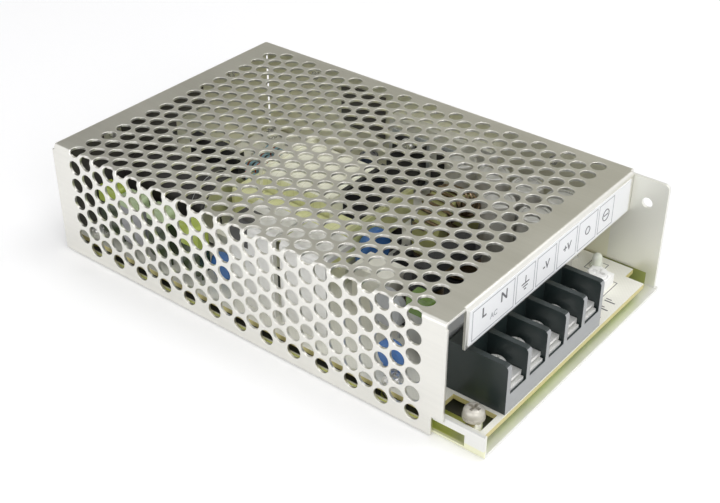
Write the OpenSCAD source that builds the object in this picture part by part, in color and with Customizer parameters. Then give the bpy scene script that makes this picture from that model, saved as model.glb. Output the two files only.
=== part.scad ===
// Enclosed switching power supply: a folded chassis, a perforated folded cover,
// a circuit board on standoffs and the parts that the board carries.
// Frame: +X towards the terminals, +Y towards the solid chassis wall, +Z up,
// origin at the centre of the bottom face.

/* [Case] */
// Overall length, from the rear lip of the cover to the front edge of the floor
case_l = 159; // [158:1:200]
// Overall width over the cover
case_w = 97; // [96:1:125]
// Overall height over the cover
case_h = 38; // [37:1:50]
// Chassis sheet thickness
chassis_t = 1.2; // [0.8:0.1:1.4]
// Cover sheet thickness
cover_t = 0.8; // [0.5:0.1:1]
// Inside radius of every fold
fold_r = 0.4; // [0.2:0.1:0.6]
// Clearance between the cover and the chassis
cover_gap = 0.15; // [0.05:0.05:0.25]

/* [Front opening] */
// Length of floor left bare in front of the cover
ledge_l = 12.2; // [9:0.1:16]
// Height of the turned-down front flange
flange_h = 13; // [8:0.5:14]
// Gap beside the flange at the near corner
flange_gap = 8.5; // [6:0.1:12]
// Length of the raised tab at the front of the near rail
tab_l = 17.5; // [16:0.1:20]
// Height of the raised tab above the bottom
tab_h = 7.6; // [7.2:0.1:12]
// Length of the slot in the tab
tab_slot_l = 11.5; // [8:0.1:12]
// Height of the slot in the tab
tab_slot_h = 3.6; // [3:0.1:4.5]
// Distance from the slot's front end to the front edge
tab_slot_in = 6; // [4:0.1:6]
// Height of the rest of the near rail above the bottom
rail_h = 2.8; // [2:0.1:4]

/* [Perforation] */
// Hole diameter
hole_d = 4.8; // [3:0.1:5]
// Distance between hole columns, along the length
col_pitch = 5.08; // [4.8:0.01:8]
// Distance between the holes of one column, measured in the flat sheet
row_pitch = 6.13; // [6:0.01:9]
// Flat distance from the near fold line to the nearest row on either face
fold_row = 1.5; // [1:0.1:2]
// Least plain band at either end of the hole field
end_band = 7; // [6:0.5:12]

/* [Circuit board] */
// Board thickness
board_t = 1.6; // [1:0.1:2]
// Height of the standoffs under the board
standoff_h = 2.9; // [2.6:0.1:5]
// Gap between the board and the walls round it
board_gap = 0.7; // [0.5:0.1:1.5]
// Set-back of the board behind the floor's front edge
board_setback = 1.7; // [1:0.1:3]
// Thickness of the insulating film on the floor
film_t = 0.4; // [0.2:0.1:0.5]
// Thread diameter of the board screws
board_screw_d = 3; // [2.5:0.5:3]

/* [Terminals] */
// Number of terminals
terminal_n = 5; // [3:1:5]
// Distance between terminals
terminal_pitch = 9.5; // [9:0.05:10]
// Thickness of the barriers between terminals
barrier_t = 1.8; // [1.2:0.1:2]
// Distance of the block's near end from the near face
terminal_y = 13.4; // [13:0.1:16]
// Depth of the block
terminal_d = 18.5; // [17:0.1:20]
// Height of the block's base above the board
terminal_base_h = 6; // [6:0.1:8]
// Height of the barriers above the board
terminal_h = 15.8; // [13:0.1:16]
// Thread diameter of the terminal screws
terminal_screw_d = 3.5; // [3:0.1:4]

/* [Mounting] */
// Distance between the floor's mounting holes along the length
mount_x = 120; // [100:1:125]
// Distance between the floor's mounting holes across the width
mount_y = 71; // [60:1:75]
// Core diameter of the tapped mounting holes
mount_d = 2.5; // [2.5:0.1:3.3]

/* [Hidden] */
$fn = 48;
eps = 0.01;

// The folded sheets
rear_x = -case_l / 2;
front_x = case_l / 2;
near_y = -case_w / 2;
far_y = case_w / 2;
cover_front_x = front_x - ledge_l;
fold_in = cover_t + fold_r;
side_foot = 0.5;
far_lip_h = 8;
rear_lip_h = 9;
shell_in = cover_t + cover_gap;
wall_top = case_h - shell_in;
chassis_rear_x = rear_x + shell_in;
rail_y = near_y + shell_in;
wall_y = far_y - shell_in;
wall_setback = 0.8;
wall_corner_r = 1.6;
// The notch that clears the tab at the lower front corner of the cover's side
side_notch_l = 3.7;
side_notch_h = 6.7;

// The hole field: a flat sheet is punched first, then folded
neutral = 0.44;
fold_loss = 2 * fold_in - (PI / 2) * (fold_r + neutral * cover_t);
half_loss = fold_loss / 2;
hole_cols = floor((cover_front_x - rear_x - 2 * end_band - hole_d) / col_pitch) + 1;
first_col_x = (rear_x + cover_front_x - (hole_cols - 1) * col_pitch) / 2;
side_web = 2.2;
top_web = 0.06;

// The board
floor_top = chassis_t;
board_z = floor_top + standoff_h;
board_top = board_z + board_t;
board_rear_x = chassis_rear_x + chassis_t + board_gap;
board_front_x = front_x - board_setback;
board_near_y = rail_y + chassis_t + board_gap;
board_far_y = wall_y - chassis_t - board_gap;
// Window round the earth post: its distances from the board's front and near edges
earth_window_x = [1.8, 15.6];
earth_window_y = [1.5, terminal_y - shell_in - chassis_t - board_gap - 1.2];
far_notch = [6.2, 5];
film_gap = 0.5;
film_front_in = 20;
screw_clear = 0.2;
standoff_d = 5.5;
standoff_sites = [
    [board_rear_x + 5, board_near_y + 5],
    [board_rear_x + 5, board_far_y - 5],
    [front_x - 33, near_y + 6.2],
    [front_x - 27, board_far_y - 5]
];
earth_site = [front_x - 7.6, near_y + 7.3];

// The terminal block
block_x = board_front_x - 0.3;
block_near_y = near_y + terminal_y;
block_w = terminal_n * terminal_pitch + barrier_t;
pocket_d = 12.6;
pocket_w = terminal_pitch - barrier_t;
barrier_r = 1.3;
plate_t = 1;
clamp_t = 0.9;
clamp_front = 2.4;
clamp_lift = 0.7;
terminal_gap = 0.15;
terminal_screw_in = 7.6;
terminal_seat_z = board_top + terminal_base_h + plate_t + clamp_lift + clamp_t;
function pocket_y(i) = block_near_y + barrier_t / 2 + (i + 0.5) * terminal_pitch;

// Heat path: tabs of the output rectifiers on the solid wall
wall_in_y = wall_y - chassis_t;
pad_t = 0.3;
tab_t = 1.3;
rectifier_u = [69, 87];

// Small fixings
device_screw_d = 3;
wall_hole_d = 3.4;
wall_hole_in = 7;
wall_hole_z = case_h - 8.7;
lip_screw_x = [rear_x + 26, cover_front_x - 26];
lip_screw_z = case_h - 4.6;
rear_screw_y = [near_y + 22, far_y - 22];
cover_screw_d = 3;
cover_head_d = 5.4;
earth_post_d = 5.2;
earth_post_h = 5.2;
earth_thread_d = 3;
earth_head_d = 5.8;
label_t = 0.2;

// ---- folded sheet helpers ----

// Section of a fold: outer faces on the two axes, sheet to +x and to -y
module fold_section(t, r) {
    intersection() {
        translate([t + r, -t - r])
            difference() {
                circle(t + r);
                circle(r);
            }
        translate([0, -t - r]) square(t + r);
    }
}

// Section of an angle: leg a to +x, leg b to -y, outer corner at the origin
module angle_section(a, b, t, r) {
    fold_section(t, r);
    translate([t + r - eps, -t]) square([a - t - r + eps, t]);
    translate([0, -b]) square([t, b - t - r + eps]);
}

// Stands a section in the YZ plane and runs it along X
module run_x(x0, x1) {
    translate([x0, 0, 0]) rotate([90, 0, 90]) linear_extrude(x1 - x0) children();
}

// Stands a section in the XZ plane and runs it along Y
module run_y(y0, y1) {
    translate([0, y1, 0]) rotate([90, 0, 0]) linear_extrude(y1 - y0) children();
}

module at(p, z = 0) {
    translate([p[0], p[1], z]) children();
}

// Pan-head screw, head seated at z = 0, shank down
module pan_screw(d, shank_l, head_d, head_h) {
    cross = 0.16 * head_d;
    difference() {
        union() {
            translate([0, 0, -shank_l]) cylinder(d = d, h = shank_l + eps);
            rotate_extrude() pan_profile(head_d / 2, head_h);
        }
        for (a = [0, 90])
            rotate(a) translate([-head_d * 0.3, -cross / 2, head_h * 0.45])
                cube([head_d * 0.6, cross, head_h]);
    }
}

// Countersunk screw, head flush with z = 0, shank down
module flat_screw(d, length, head_d) {
    cross = 0.15 * head_d;
    difference() {
        union() {
            translate([0, 0, -length]) cylinder(d = d, h = length - (head_d - d) / 2 + eps);
            translate([0, 0, -(head_d - d) / 2]) cylinder(d1 = d, d2 = head_d, h = (head_d - d) / 2);
        }
        for (a = [0, 90])
            rotate(a) translate([-head_d * 0.27, -cross / 2, -0.7])
                cube([head_d * 0.54, cross, 1]);
    }
}

// Seat for a countersunk screw, through the sheets it joins
module flat_seat(d, length, head_d) {
    translate([0, 0, -length]) cylinder(d = d, h = length);
    translate([0, 0, -(head_d - d) / 2]) cylinder(d1 = d, d2 = head_d, h = (head_d - d) / 2);
    cylinder(d = head_d, h = 1);
}

// Half outline of a pan head: flat seat, short side, rounded shoulder
module pan_profile(r, h) {
    shoulder = h * 0.6;
    square([r - shoulder, h]);
    square([r, h - shoulder]);
    intersection() {
        translate([r - shoulder, h - shoulder]) circle(shoulder);
        translate([r - shoulder, h - shoulder]) square(shoulder);
    }
}

// ---- case ----

module chassis() {
    color("gainsboro")
    difference() {
        union() {
            // near rail and floor
            run_x(chassis_rear_x + chassis_t + fold_r, front_x)
                translate([rail_y, 0]) mirror([0, 1])
                    angle_section(wall_y - rail_y - chassis_t - fold_r, tab_h, chassis_t, fold_r);
            // far wall
            run_x(chassis_rear_x + chassis_t + fold_r, front_x)
                translate([wall_y, 0]) mirror([1, 0]) mirror([0, 1])
                    angle_section(chassis_t + fold_r + 1, wall_top, chassis_t, fold_r);
            // rear wall
            run_y(rail_y + chassis_t + fold_r, wall_y - chassis_t - fold_r)
                translate([chassis_rear_x, 0]) mirror([0, 1])
                    angle_section(chassis_t + fold_r + 1, wall_top, chassis_t, fold_r);
        }
        // the rail is low behind the tab
        translate([rear_x, rail_y - 1, rail_h])
            cube([front_x - tab_l - rear_x, chassis_t + 2, tab_h]);
        // slot through the tab
        translate([front_x - tab_slot_in - tab_slot_l, rail_y - 1, floor_top + 0.5])
            cube([tab_slot_l, chassis_t + 2, tab_slot_h]);
        wall_front_cut();
        floor_holes();
        wall_holes();
        cover_screw_seats();
    }
}

// Sets the far wall back from the front edge and rounds its top corner
module wall_front_cut() {
    back = front_x - wall_setback;
    translate([back, wall_y - chassis_t - 1, chassis_t + fold_r])
        cube([wall_setback + 1, chassis_t + 2, case_h]);
    translate([back - wall_corner_r, wall_y - chassis_t - 1, wall_top - wall_corner_r])
        difference() {
            cube([wall_corner_r + 1, chassis_t + 2, wall_corner_r + 1]);
            rotate([-90, 0, 0]) translate([0, 0, -1]) cylinder(r = wall_corner_r, h = chassis_t + 4);
        }
}

module floor_holes() {
    for (sx = [-1, 1], sy = [-1, 1])
        translate([sx * mount_x / 2, sy * mount_y / 2, -1]) cylinder(d = mount_d, h = chassis_t + 2);
}

module wall_holes() {
    translate([front_x - wall_hole_in, wall_y + 1, wall_hole_z])
        rotate([90, 0, 0]) cylinder(d = wall_hole_d, h = chassis_t + 2);
    for (u = rectifier_u)
        translate([rear_x + u, wall_y + 1, board_top + device_lead + device_hole_up])
            rotate([90, 0, 0]) cylinder(d = device_screw_d, h = chassis_t + 2);
}

// Countersunk seats at the four cover screws, cut through cover and chassis alike
module cover_screw_seats() {
    at_cover_screws() flat_seat(cover_screw_d, 4, cover_head_d);
}

module at_cover_screws() {
    for (x = lip_screw_x)
        translate([x, far_y, lip_screw_z]) rotate([-90, 0, 0]) children();
    for (y = rear_screw_y)
        translate([rear_x, y, lip_screw_z]) rotate([0, -90, 0]) children();
}

// One folded sheet: top, near side, front flange, far and rear lips
module cover() {
    color("silver")
    difference() {
        union() {
            // near side and top
            run_x(rear_x + fold_in, cover_front_x - fold_in)
                translate([near_y, case_h])
                    angle_section(case_w - fold_in, case_h - side_foot, cover_t, fold_r);
            // far lip
            run_x(rear_x + fold_in, cover_front_x - fold_in)
                translate([far_y, case_h]) mirror([1, 0])
                    angle_section(fold_in + 1, far_lip_h, cover_t, fold_r);
            // the side sheet reaches past the fold line at both ends
            translate([rear_x + 0.2, near_y, side_foot])
                cube([cover_front_x - rear_x - 0.2, cover_t, case_h - fold_in - 0.6 - side_foot]);
            // rear lip
            run_y(near_y + fold_in, far_y - fold_in)
                translate([rear_x, case_h])
                    angle_section(fold_in + 1, rear_lip_h, cover_t, fold_r);
            // front flange
            run_y(near_y + flange_gap, wall_in_y - cover_gap)
                translate([cover_front_x, case_h]) mirror([1, 0])
                    angle_section(fold_in + 1, flange_h, cover_t, fold_r);
            // top sheet beside the flange
            translate([cover_front_x - fold_in - 1, near_y + fold_in, case_h - cover_t])
                cube([fold_in + 1 - 0.4, flange_gap - fold_in, cover_t]);
            run_x(cover_front_x - fold_in - eps, cover_front_x - 0.4)
                translate([near_y, case_h]) angle_section(fold_in + 1, fold_in + 1, cover_t, fold_r);
        }
        top_holes();
        side_holes();
        fold_holes();
        translate([cover_front_x - side_notch_l, near_y - 1, -1])
            cube([side_notch_l + 1, cover_t + 2, side_notch_h + 1]);
        cover_screw_seats();
    }
}

function col_x(c) = first_col_x + c * col_pitch;
// Flat distance from the near fold line to row k of column c on the top, then on the side
function top_s(c, k) = fold_row + (k + (c % 2) / 2) * row_pitch;
function side_s(c, k) = row_pitch - fold_row + (k - (c % 2) / 2) * row_pitch;
function top_rows_in(c) = [for (k = [0 : 40])
    if (top_s(c, k) + half_loss + hole_d / 2 < case_w - cover_t + top_web) top_s(c, k)];
function side_rows_in(c) = [for (k = [0 : 20])
    if (side_s(c, k) + half_loss + hole_d / 2 < case_h - side_foot - side_web) side_s(c, k)];

module top_holes() {
    for (c = [0 : hole_cols - 1], s = top_rows_in(c))
        translate([col_x(c), near_y + half_loss + s, case_h - fold_in])
            cylinder(d = hole_d, h = fold_in + 1);
}

module side_holes() {
    for (c = [0 : hole_cols - 1], s = side_rows_in(c))
        translate([col_x(c), near_y + fold_in, case_h - half_loss - s])
            rotate([90, 0, 0]) cylinder(d = hole_d, h = fold_in + 1);
}

// A hole near the fold wraps round it, so it is cut once more from the other face
module fold_holes() {
    for (c = [0 : hole_cols - 1])
        if (c % 2 == 0)
            translate([col_x(c), near_y + fold_in, case_h - half_loss + top_s(c, 0)])
                rotate([90, 0, 0]) cylinder(d = hole_d, h = fold_in + 1);
        else
            translate([col_x(c), near_y + half_loss - side_s(c, 0), case_h - fold_in])
                cylinder(d = hole_d, h = fold_in + 1);
}

module cover_screws() {
    color("lightgray") at_cover_screws() flat_screw(cover_screw_d, 4, cover_head_d);
}

// Printed strip on the front flange, one field for each terminal and two more
module label_strip() {
    color("white")
    translate([cover_front_x, near_y + flange_gap + 1.2, case_h - flange_h + 0.6])
        cube([label_t, case_w - flange_gap - fold_in - 4, flange_h - fold_in - 1]);
}

// ---- board and what holds it ----

module insulating_film() {
    color("dimgray")
    difference() {
        translate([board_rear_x + film_gap, board_near_y, floor_top])
            cube([front_x - film_front_in - board_rear_x - film_gap, board_far_y - board_near_y, film_t]);
        for (p = standoff_sites) at(p, floor_top - 1) cylinder(d = standoff_d + 1, h = film_t + 2);
        for (sx = [-1, 1], sy = [-1, 1])
            at([sx * mount_x / 2, sy * mount_y / 2], floor_top - 1)
                cylinder(d = mount_d + 4, h = film_t + 2);
    }
}

module board() {
    color("cornsilk")
    difference() {
        translate([board_rear_x, board_near_y, board_z])
            cube([board_front_x - board_rear_x, board_far_y - board_near_y, board_t]);
        translate([board_front_x - earth_window_x[1], board_near_y + earth_window_y[0], board_z - 1])
            cube([earth_window_x[1] - earth_window_x[0],
                  earth_window_y[1] - earth_window_y[0], board_t + 2]);
        translate([board_front_x - far_notch[0], board_far_y - far_notch[1], board_z - 1])
            cube([far_notch[0] + 1, far_notch[1] + 1, board_t + 2]);
        for (p = standoff_sites)
            at(p, board_z - 1) cylinder(d = board_screw_d + 2 * screw_clear, h = board_t + 2);
    }
}

module board_standoffs() {
    color("silver")
    for (p = standoff_sites)
        at(p, floor_top)
            difference() {
                cylinder(d = standoff_d, h = standoff_h);
                translate([0, 0, 0.6]) cylinder(d = board_screw_d, h = standoff_h);
            }
}

module board_screws() {
    color("lightgray")
    for (p = standoff_sites)
        at(p, board_top) pan_screw(board_screw_d, board_t + standoff_h - 1.2, 5.6, 2.1);
}

module earth_post() {
    color("silver")
    at(earth_site, floor_top)
        difference() {
            cylinder(d = earth_post_d, h = earth_post_h);
            translate([0, 0, 0.6]) cylinder(d = earth_thread_d, h = earth_post_h);
        }
}

module earth_screw() {
    color("gainsboro")
    at(earth_site, floor_top + earth_post_h) {
        translate([0, 0, 0.8]) pan_screw(earth_thread_d, 5, earth_head_d, 2.6);
        difference() {
            cylinder(d = earth_head_d + 0.4, h = 0.8 + eps);
            translate([0, 0, -1]) cylinder(d = earth_thread_d - 2 * eps, h = 3);
        }
    }
}

// ---- terminal block ----

// Side outline of a barrier: rear body, level top, rounded front corner
module barrier_section() {
    difference() {
        translate([-terminal_d, 0]) square([terminal_d, terminal_h]);
        translate([-barrier_r, terminal_h - barrier_r])
            difference() {
                square(barrier_r + 1);
                circle(barrier_r);
            }
    }
}

module terminal_block() {
    rear_d = terminal_d - pocket_d;
    color("#1c1f20")
    translate([block_x, block_near_y, board_top])
        difference() {
            union() {
                translate([-terminal_d, 0, 0]) cube([terminal_d, block_w, terminal_base_h]);
                translate([-terminal_d, 0, 0]) cube([rear_d, block_w, terminal_h]);
                for (i = [0 : terminal_n])
                    translate([0, i * terminal_pitch + barrier_t, 0])
                        rotate([90, 0, 0]) linear_extrude(barrier_t) barrier_section();
            }
            for (i = [0 : terminal_n - 1]) {
                // screw well
                translate([-terminal_screw_in, barrier_t / 2 + (i + 0.5) * terminal_pitch, 1.2])
                    cylinder(d = terminal_screw_d + 2 * terminal_gap, h = terminal_base_h);
                // step at the rear of the pocket, where the plate enters the body
                translate([-pocket_d - 2, barrier_t + i * terminal_pitch + 1.2, terminal_base_h])
                    cube([3, pocket_w - 2.4, plate_t + 2 * terminal_gap]);
            }
        }
}

module terminal_plates() {
    color("silver")
    for (i = [0 : terminal_n - 1])
        translate([block_x, pocket_y(i), board_top + terminal_base_h])
            difference() {
                union() {
                    translate([-pocket_d + 0.4, -pocket_w / 2 + terminal_gap + 0.3, 0])
                        cube([pocket_d - 1, pocket_w - 2 * terminal_gap - 0.6, plate_t]);
                    translate([-pocket_d - 1.7, -pocket_w / 2 + 1.5, 0])
                        cube([3, pocket_w - 3, plate_t]);
                }
                translate([-terminal_screw_in, 0, -1])
                    cylinder(d = terminal_screw_d + 2 * terminal_gap, h = 4);
            }
}

// Square clamp washers with turned-down side ears
module terminal_clamps() {
    side = pocket_w - 2 * terminal_gap;
    color("gainsboro")
    for (i = [0 : terminal_n - 1])
        translate([block_x - terminal_screw_in, pocket_y(i), board_top + terminal_base_h + plate_t])
            difference() {
                union() {
                    translate([-side / 2, -side / 2, clamp_lift])
                        cube([side + clamp_front, side, clamp_t]);
                    for (sy = [-1, 1])
                        translate([-side / 2, sy * (side / 2 - 0.35) - 0.35, 0])
                            cube([side + clamp_front, 0.7, 1]);
                }
                translate([0, 0, -1]) cylinder(d = terminal_screw_d + 2 * terminal_gap, h = 4);
            }
}

module terminal_screws() {
    color("lightgray")
    for (i = [0 : terminal_n - 1])
        translate([block_x - terminal_screw_in, pocket_y(i), terminal_seat_z])
            pan_screw(terminal_screw_d, 7, 6.6, 2.6);
}

// ---- parts on the board ----

// A place on the board: u from the rear face, or from the front edge when negative,
// and v from the near face, or from the far face when negative
function spot(u, v) = [u > 0 ? rear_x + u : front_x + u, v > 0 ? near_y + v : far_y + v];

module on_board(u, v, h = 0) {
    at(spot(u, v), board_top + h) children();
}

// Disc standing on two leads, flat faces towards +y and -y
module leaded_disc(d, t, lead_l, lead_pitch) {
    rounding = 1;
    translate([0, 0, lead_l + d / 2])
        rotate([90, 0, 0]) translate([0, 0, -t / 2]) {
            cylinder(d1 = d - 2 * rounding, d2 = d, h = rounding);
            translate([0, 0, rounding]) cylinder(d = d, h = t - 2 * rounding);
            translate([0, 0, t - rounding]) cylinder(d1 = d, d2 = d - 2 * rounding, h = rounding);
        }
    for (sx = [-1, 1])
        translate([sx * lead_pitch / 2, 0, 0]) cylinder(d = 0.8, h = lead_l + d / 2);
}

// Rectangle with round corners, centred in x, standing on y = 0
module soft_rect(w, h, r) {
    translate([-w / 2 + r, 0]) square([w - 2 * r, h]);
    translate([-w / 2, r]) square([w, h - 2 * r]);
    for (x = [-w / 2 + r, w / 2 - r], y = [r, h - r])
        translate([x, y]) circle(r);
}

// Dipped film capacitor on two leads, flat faces towards +y and -y
module dipped_box(w, t, h, lead_l) {
    translate([0, t / 2, lead_l])
        rotate([90, 0, 0]) linear_extrude(t) soft_rect(w, h, 1.6);
    for (sx = [-1, 1])
        translate([sx * w * 0.32, 0, 0]) cylinder(d = 0.7, h = lead_l + 1);
}

// Box with softened upright edges, centred, standing on z = 0
module soft_box(w, d, h, r) {
    linear_extrude(h) translate([0, -d / 2]) soft_rect(w, d, r);
}

// Standing electrolytic can: sleeve, rolled groove and scored top
module standing_can(d, h) {
    r = d / 2;
    groove = 0.05 * d;
    rotate_extrude()
        difference() {
            union() {
                square([r - 0.5, h]);
                square([r, h - 0.5]);
                translate([r - 0.5, h - 0.5]) circle(0.5);
            }
            translate([r + groove * 0.5, 2.2]) circle(groove);
            translate([-eps, h - 0.3]) square([r - 1.1, 1]);
        }
}

// Flat power device standing on three leads, its tab towards +y
module power_device(body_w) {
    translate([-body_w / 2, -tab_t, device_lead]) cube([body_w, tab_t, device_h]);
    translate([-body_w / 2, -device_t, device_lead]) cube([body_w, device_t - tab_t + eps, device_body_h]);
    for (i = [-1, 0, 1])
        translate([i * 2.54 - 0.4, -2.4, 0]) cube([0.8, 0.5, device_lead + eps]);
}

device_h = 15;
device_t = 4.4;
device_body_h = 9;
device_lead = 4;
device_hole_up = 12.6;
rectifier_w = 13;
switch_w = 10;

module fuse_tube() {
    color("azure") on_board(fuse_at[0], fuse_at[1], fuse_up)
        rotate([-90, 0, 0]) translate([0, 0, -fuse_l / 2 + fuse_cap_l])
            difference() {
                cylinder(d = fuse_d - 0.2, h = fuse_l - 2 * fuse_cap_l);
                translate([0, 0, -1]) cylinder(d = fuse_d - 1.8, h = fuse_l);
            }
}

module fuse_caps() {
    color("silver") on_board(fuse_at[0], fuse_at[1], fuse_up)
        for (sy = [-1, 1])
            rotate([sy * 90, 0, 0]) translate([0, 0, fuse_l / 2 - fuse_cap_l])
                cylinder(d = fuse_d, h = fuse_cap_l);
}

module fuse_clips() {
    clip_w = fuse_cap_l - 1;
    color("gainsboro") on_board(fuse_at[0], fuse_at[1])
        for (sy = [-1, 1])
            translate([0, sy * (fuse_l / 2 - fuse_cap_l / 2) - clip_w / 2, 0]) {
                translate([-fuse_d / 2 - 0.5, 0, 0]) cube([fuse_d + 1, clip_w, 0.5]);
                for (sx = [-1, 1])
                    translate([sx * (fuse_d / 2 + 0.25) - 0.25, 0, 0]) cube([0.5, clip_w, fuse_up + 2.2]);
                translate([-0.4, 0, 0]) cube([0.8, clip_w, fuse_up - fuse_d / 2]);
            }
}

fuse_at = [126.3, 36.2];
fuse_l = 20;
fuse_d = 5;
fuse_cap_l = 5;
fuse_up = 3.8;

module inrush_thermistor() {
    color("#2f6b3f") on_board(112, 22.6) leaded_disc(12, 4, 3, 7.5);
}

module varistor() {
    color("#2f5fb0") on_board(91.2, 42.1) rotate(90) leaded_disc(14, 4, 2.3, 7.5);
}

module x_capacitors() {
    color("#8d9196")
    for (v = [23, 43])
        on_board(133.8, v) soft_box(8, 18, 16.5, 0.5);
}

module y_capacitors() {
    color("#2b6fc4")
    for (p = y_sites) on_board(p[0], p[1]) leaded_disc(9, 3.5, 1.2, 5);
}

y_sites = [[58.5, 12], [122.9, 9.9]];

// Line choke: a ferrite frame standing on a base, with one winding round each leg
choke_at = [117, 42];
choke_l = 24;
choke_h = 19;
choke_leg = 5;
choke_base_h = 1.6;
choke_fit = 0.1;

module line_choke_core() {
    color("#3a3a3c") on_board(choke_at[0], choke_at[1], choke_base_h)
        difference() {
            translate([-choke_leg / 2, -choke_l / 2, 0]) cube([choke_leg, choke_l, choke_h]);
            translate([-choke_leg, -choke_l / 2 + choke_leg, choke_leg])
                cube([2 * choke_leg, choke_l - 2 * choke_leg, choke_h - 2 * choke_leg]);
        }
}

module line_choke_bobbin() {
    spool_h = choke_h - 2 * choke_leg - 2 * choke_fit;
    leg_y = (choke_l - choke_leg) / 2;
    bore = choke_leg + 2 * choke_fit;
    color("#222428") on_board(choke_at[0], choke_at[1]) {
        translate([-5.5, -choke_l / 2 - 2, 0]) cube([11, choke_l + 4, choke_base_h]);
        for (sy = [-1, 1])
            translate([0, sy * leg_y, choke_base_h + choke_leg + choke_fit])
                difference() {
                    union() {
                        cylinder(d = choke_leg * 1.6, h = spool_h);
                        cylinder(d = 12, h = 0.8);
                        translate([0, 0, spool_h - 0.8]) cylinder(d = 12, h = 0.8);
                    }
                    translate([-bore / 2, -bore / 2, -1]) cube([bore, bore, spool_h + 2]);
                }
    }
}

module line_choke_windings() {
    spool_h = choke_h - 2 * choke_leg - 2 * choke_fit;
    color("#b06a34") on_board(choke_at[0], choke_at[1], choke_base_h + choke_leg + choke_fit + 0.8)
        for (sy = [-1, 1])
            translate([0, sy * (choke_l - choke_leg) / 2, 0])
                difference() {
                    cylinder(d = 11, h = spool_h - 1.6);
                    translate([0, 0, -1]) cylinder(d = choke_leg * 1.6, h = spool_h);
                }
}

module bridge_rectifier() {
    color("#26282a") on_board(23, 47) {
        translate([0, 1.7, 3]) rotate([90, 0, 0]) linear_extrude(3.4)
            difference() {
                soft_rect(21, 17.5, 0.6);
                translate([0, 12.5]) circle(d = 3.2);
            }
        for (i = [-1.5, -0.5, 0.5, 1.5])
            translate([i * 5 - 0.5, -0.4, 0]) cube([1, 0.8, 4]);
    }
}

bulk_r = 11.5;
bulk_l = 35;

// Large can lying along the board
module bulk_capacitor() {
    color("#33312f") on_board(9.5, 28.6, bulk_r) {
        rotate([0, 90, 0]) rotate_extrude()
            difference() {
                union() {
                    square([bulk_r - 1, bulk_l]);
                    translate([0, 1]) square([bulk_r, bulk_l - 2]);
                    for (y = [1, bulk_l - 1])
                        translate([bulk_r - 1, y]) circle(1);
                }
                translate([bulk_r + 0.4, bulk_l - 4]) circle(1.2);
                translate([-eps, -1]) square([bulk_r - 2, 1.4]);
            }
        for (sy = [-1, 1])
            translate([bulk_l + 1.2, sy * 3.75, -bulk_r]) {
                cylinder(d = 1, h = bulk_r + 0.5);
                translate([0.5, 0, bulk_r]) rotate([0, -90, 0]) cylinder(d = 1, h = 2);
            }
    }
}

film_sites = [[15.8, 8.6], [25.3, 8.6], [37, 8.6], [50, 8.6], [124.6, 21.5]];

module film_capacitors() {
    color("#3f8f4a")
    for (p = film_sites) on_board(p[0], p[1]) dipped_box(8.6, 4.4, 17, 2.5);
}

module snubber_capacitors() {
    color("ivory") {
        on_board(56, 20) soft_box(13, 6, 12, 0.4);
        on_board(102.5, 31) soft_box(14, 9, 14, 0.4);
    }
}

// Folded heatsinks along the near side, upright plate outwards
heatsink_u = [66, 85];
heatsink_l = 16.5;
heatsink_v = 8;
heatsink_h = 27.5;
heatsink_t = 1.6;
heatsink_flange = 13;
switch_u = heatsink_u[0] + heatsink_l / 2;

module primary_heatsink() {
    color("#c9ccce")
    difference() {
        for (u = heatsink_u)
            run_x(rear_x + u, rear_x + u + heatsink_l)
                translate([near_y + heatsink_v, board_top + heatsink_h])
                    angle_section(heatsink_flange, heatsink_h, heatsink_t, 0.6);
        translate([rear_x + switch_u, near_y + heatsink_v - 1, board_top + device_lead + device_hole_up])
            rotate([-90, 0, 0]) cylinder(d = device_screw_d, h = heatsink_t + 2);
    }
}

module primary_switch() {
    color("#2a2b2d") on_board(switch_u, heatsink_v + heatsink_t)
        difference() {
            rotate(180) power_device(switch_w);
            device_bore(-1, 3);
        }
}

// Screw hole through a device, from y0 to y1
module device_bore(y0, y1) {
    translate([0, y0, device_lead + device_hole_up]) rotate([-90, 0, 0])
        cylinder(d = device_screw_d + 2 * screw_clear, h = y1 - y0);
}

module primary_switch_screw() {
    color("lightgray") on_board(switch_u, heatsink_v + heatsink_t + tab_t, device_lead + device_hole_up)
        rotate([-90, 0, 0]) pan_screw(device_screw_d, heatsink_t + tab_t, 5.6, 2);
}

resistor_v = [60, 66, 72, 78];

module power_resistors() {
    color("#8fb0b4")
    for (v = resistor_v)
        on_board(22, v, 2) {
            rotate([0, 90, 0]) translate([0, 0, -5.5]) cylinder(d = 4, h = 11);
            rotate([0, 90, 0]) translate([0, 0, -7.5]) cylinder(d = 0.8, h = 15);
            for (sx = [-1, 1])
                translate([sx * 7.5, 0, -2]) cylinder(d = 0.8, h = 2.4);
        }
}

// Transformer: core lying flat, winding along X
core_l = 42;
core_w = 36;
core_t = 12;
core_leg = 11;
core_side = 5;
core_end = 6.5;
winding_l = core_l - 2 * core_end - 2 * 1.4;
winding_w = 25;
winding_h = 25;
core_mid = 14;
wind_fit = 0.1;

module on_transformer(h = 0) {
    on_board(67.5, 47.5, h) children();
}

module transformer_core() {
    color("#3d3b3a") on_transformer(core_mid)
        difference() {
            translate([-core_l / 2, -core_w / 2, -core_t / 2]) cube([core_l, core_w, core_t]);
            for (sy = [-1, 1])
                translate([-core_l / 2 + core_end, sy * (core_w / 4 + core_leg / 4 - core_side / 2), 0])
                    translate([0, -(core_w / 2 - core_side - core_leg / 2) / 2, -core_t])
                        cube([core_l - 2 * core_end, core_w / 2 - core_side - core_leg / 2, 2 * core_t]);
        }
}

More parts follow.
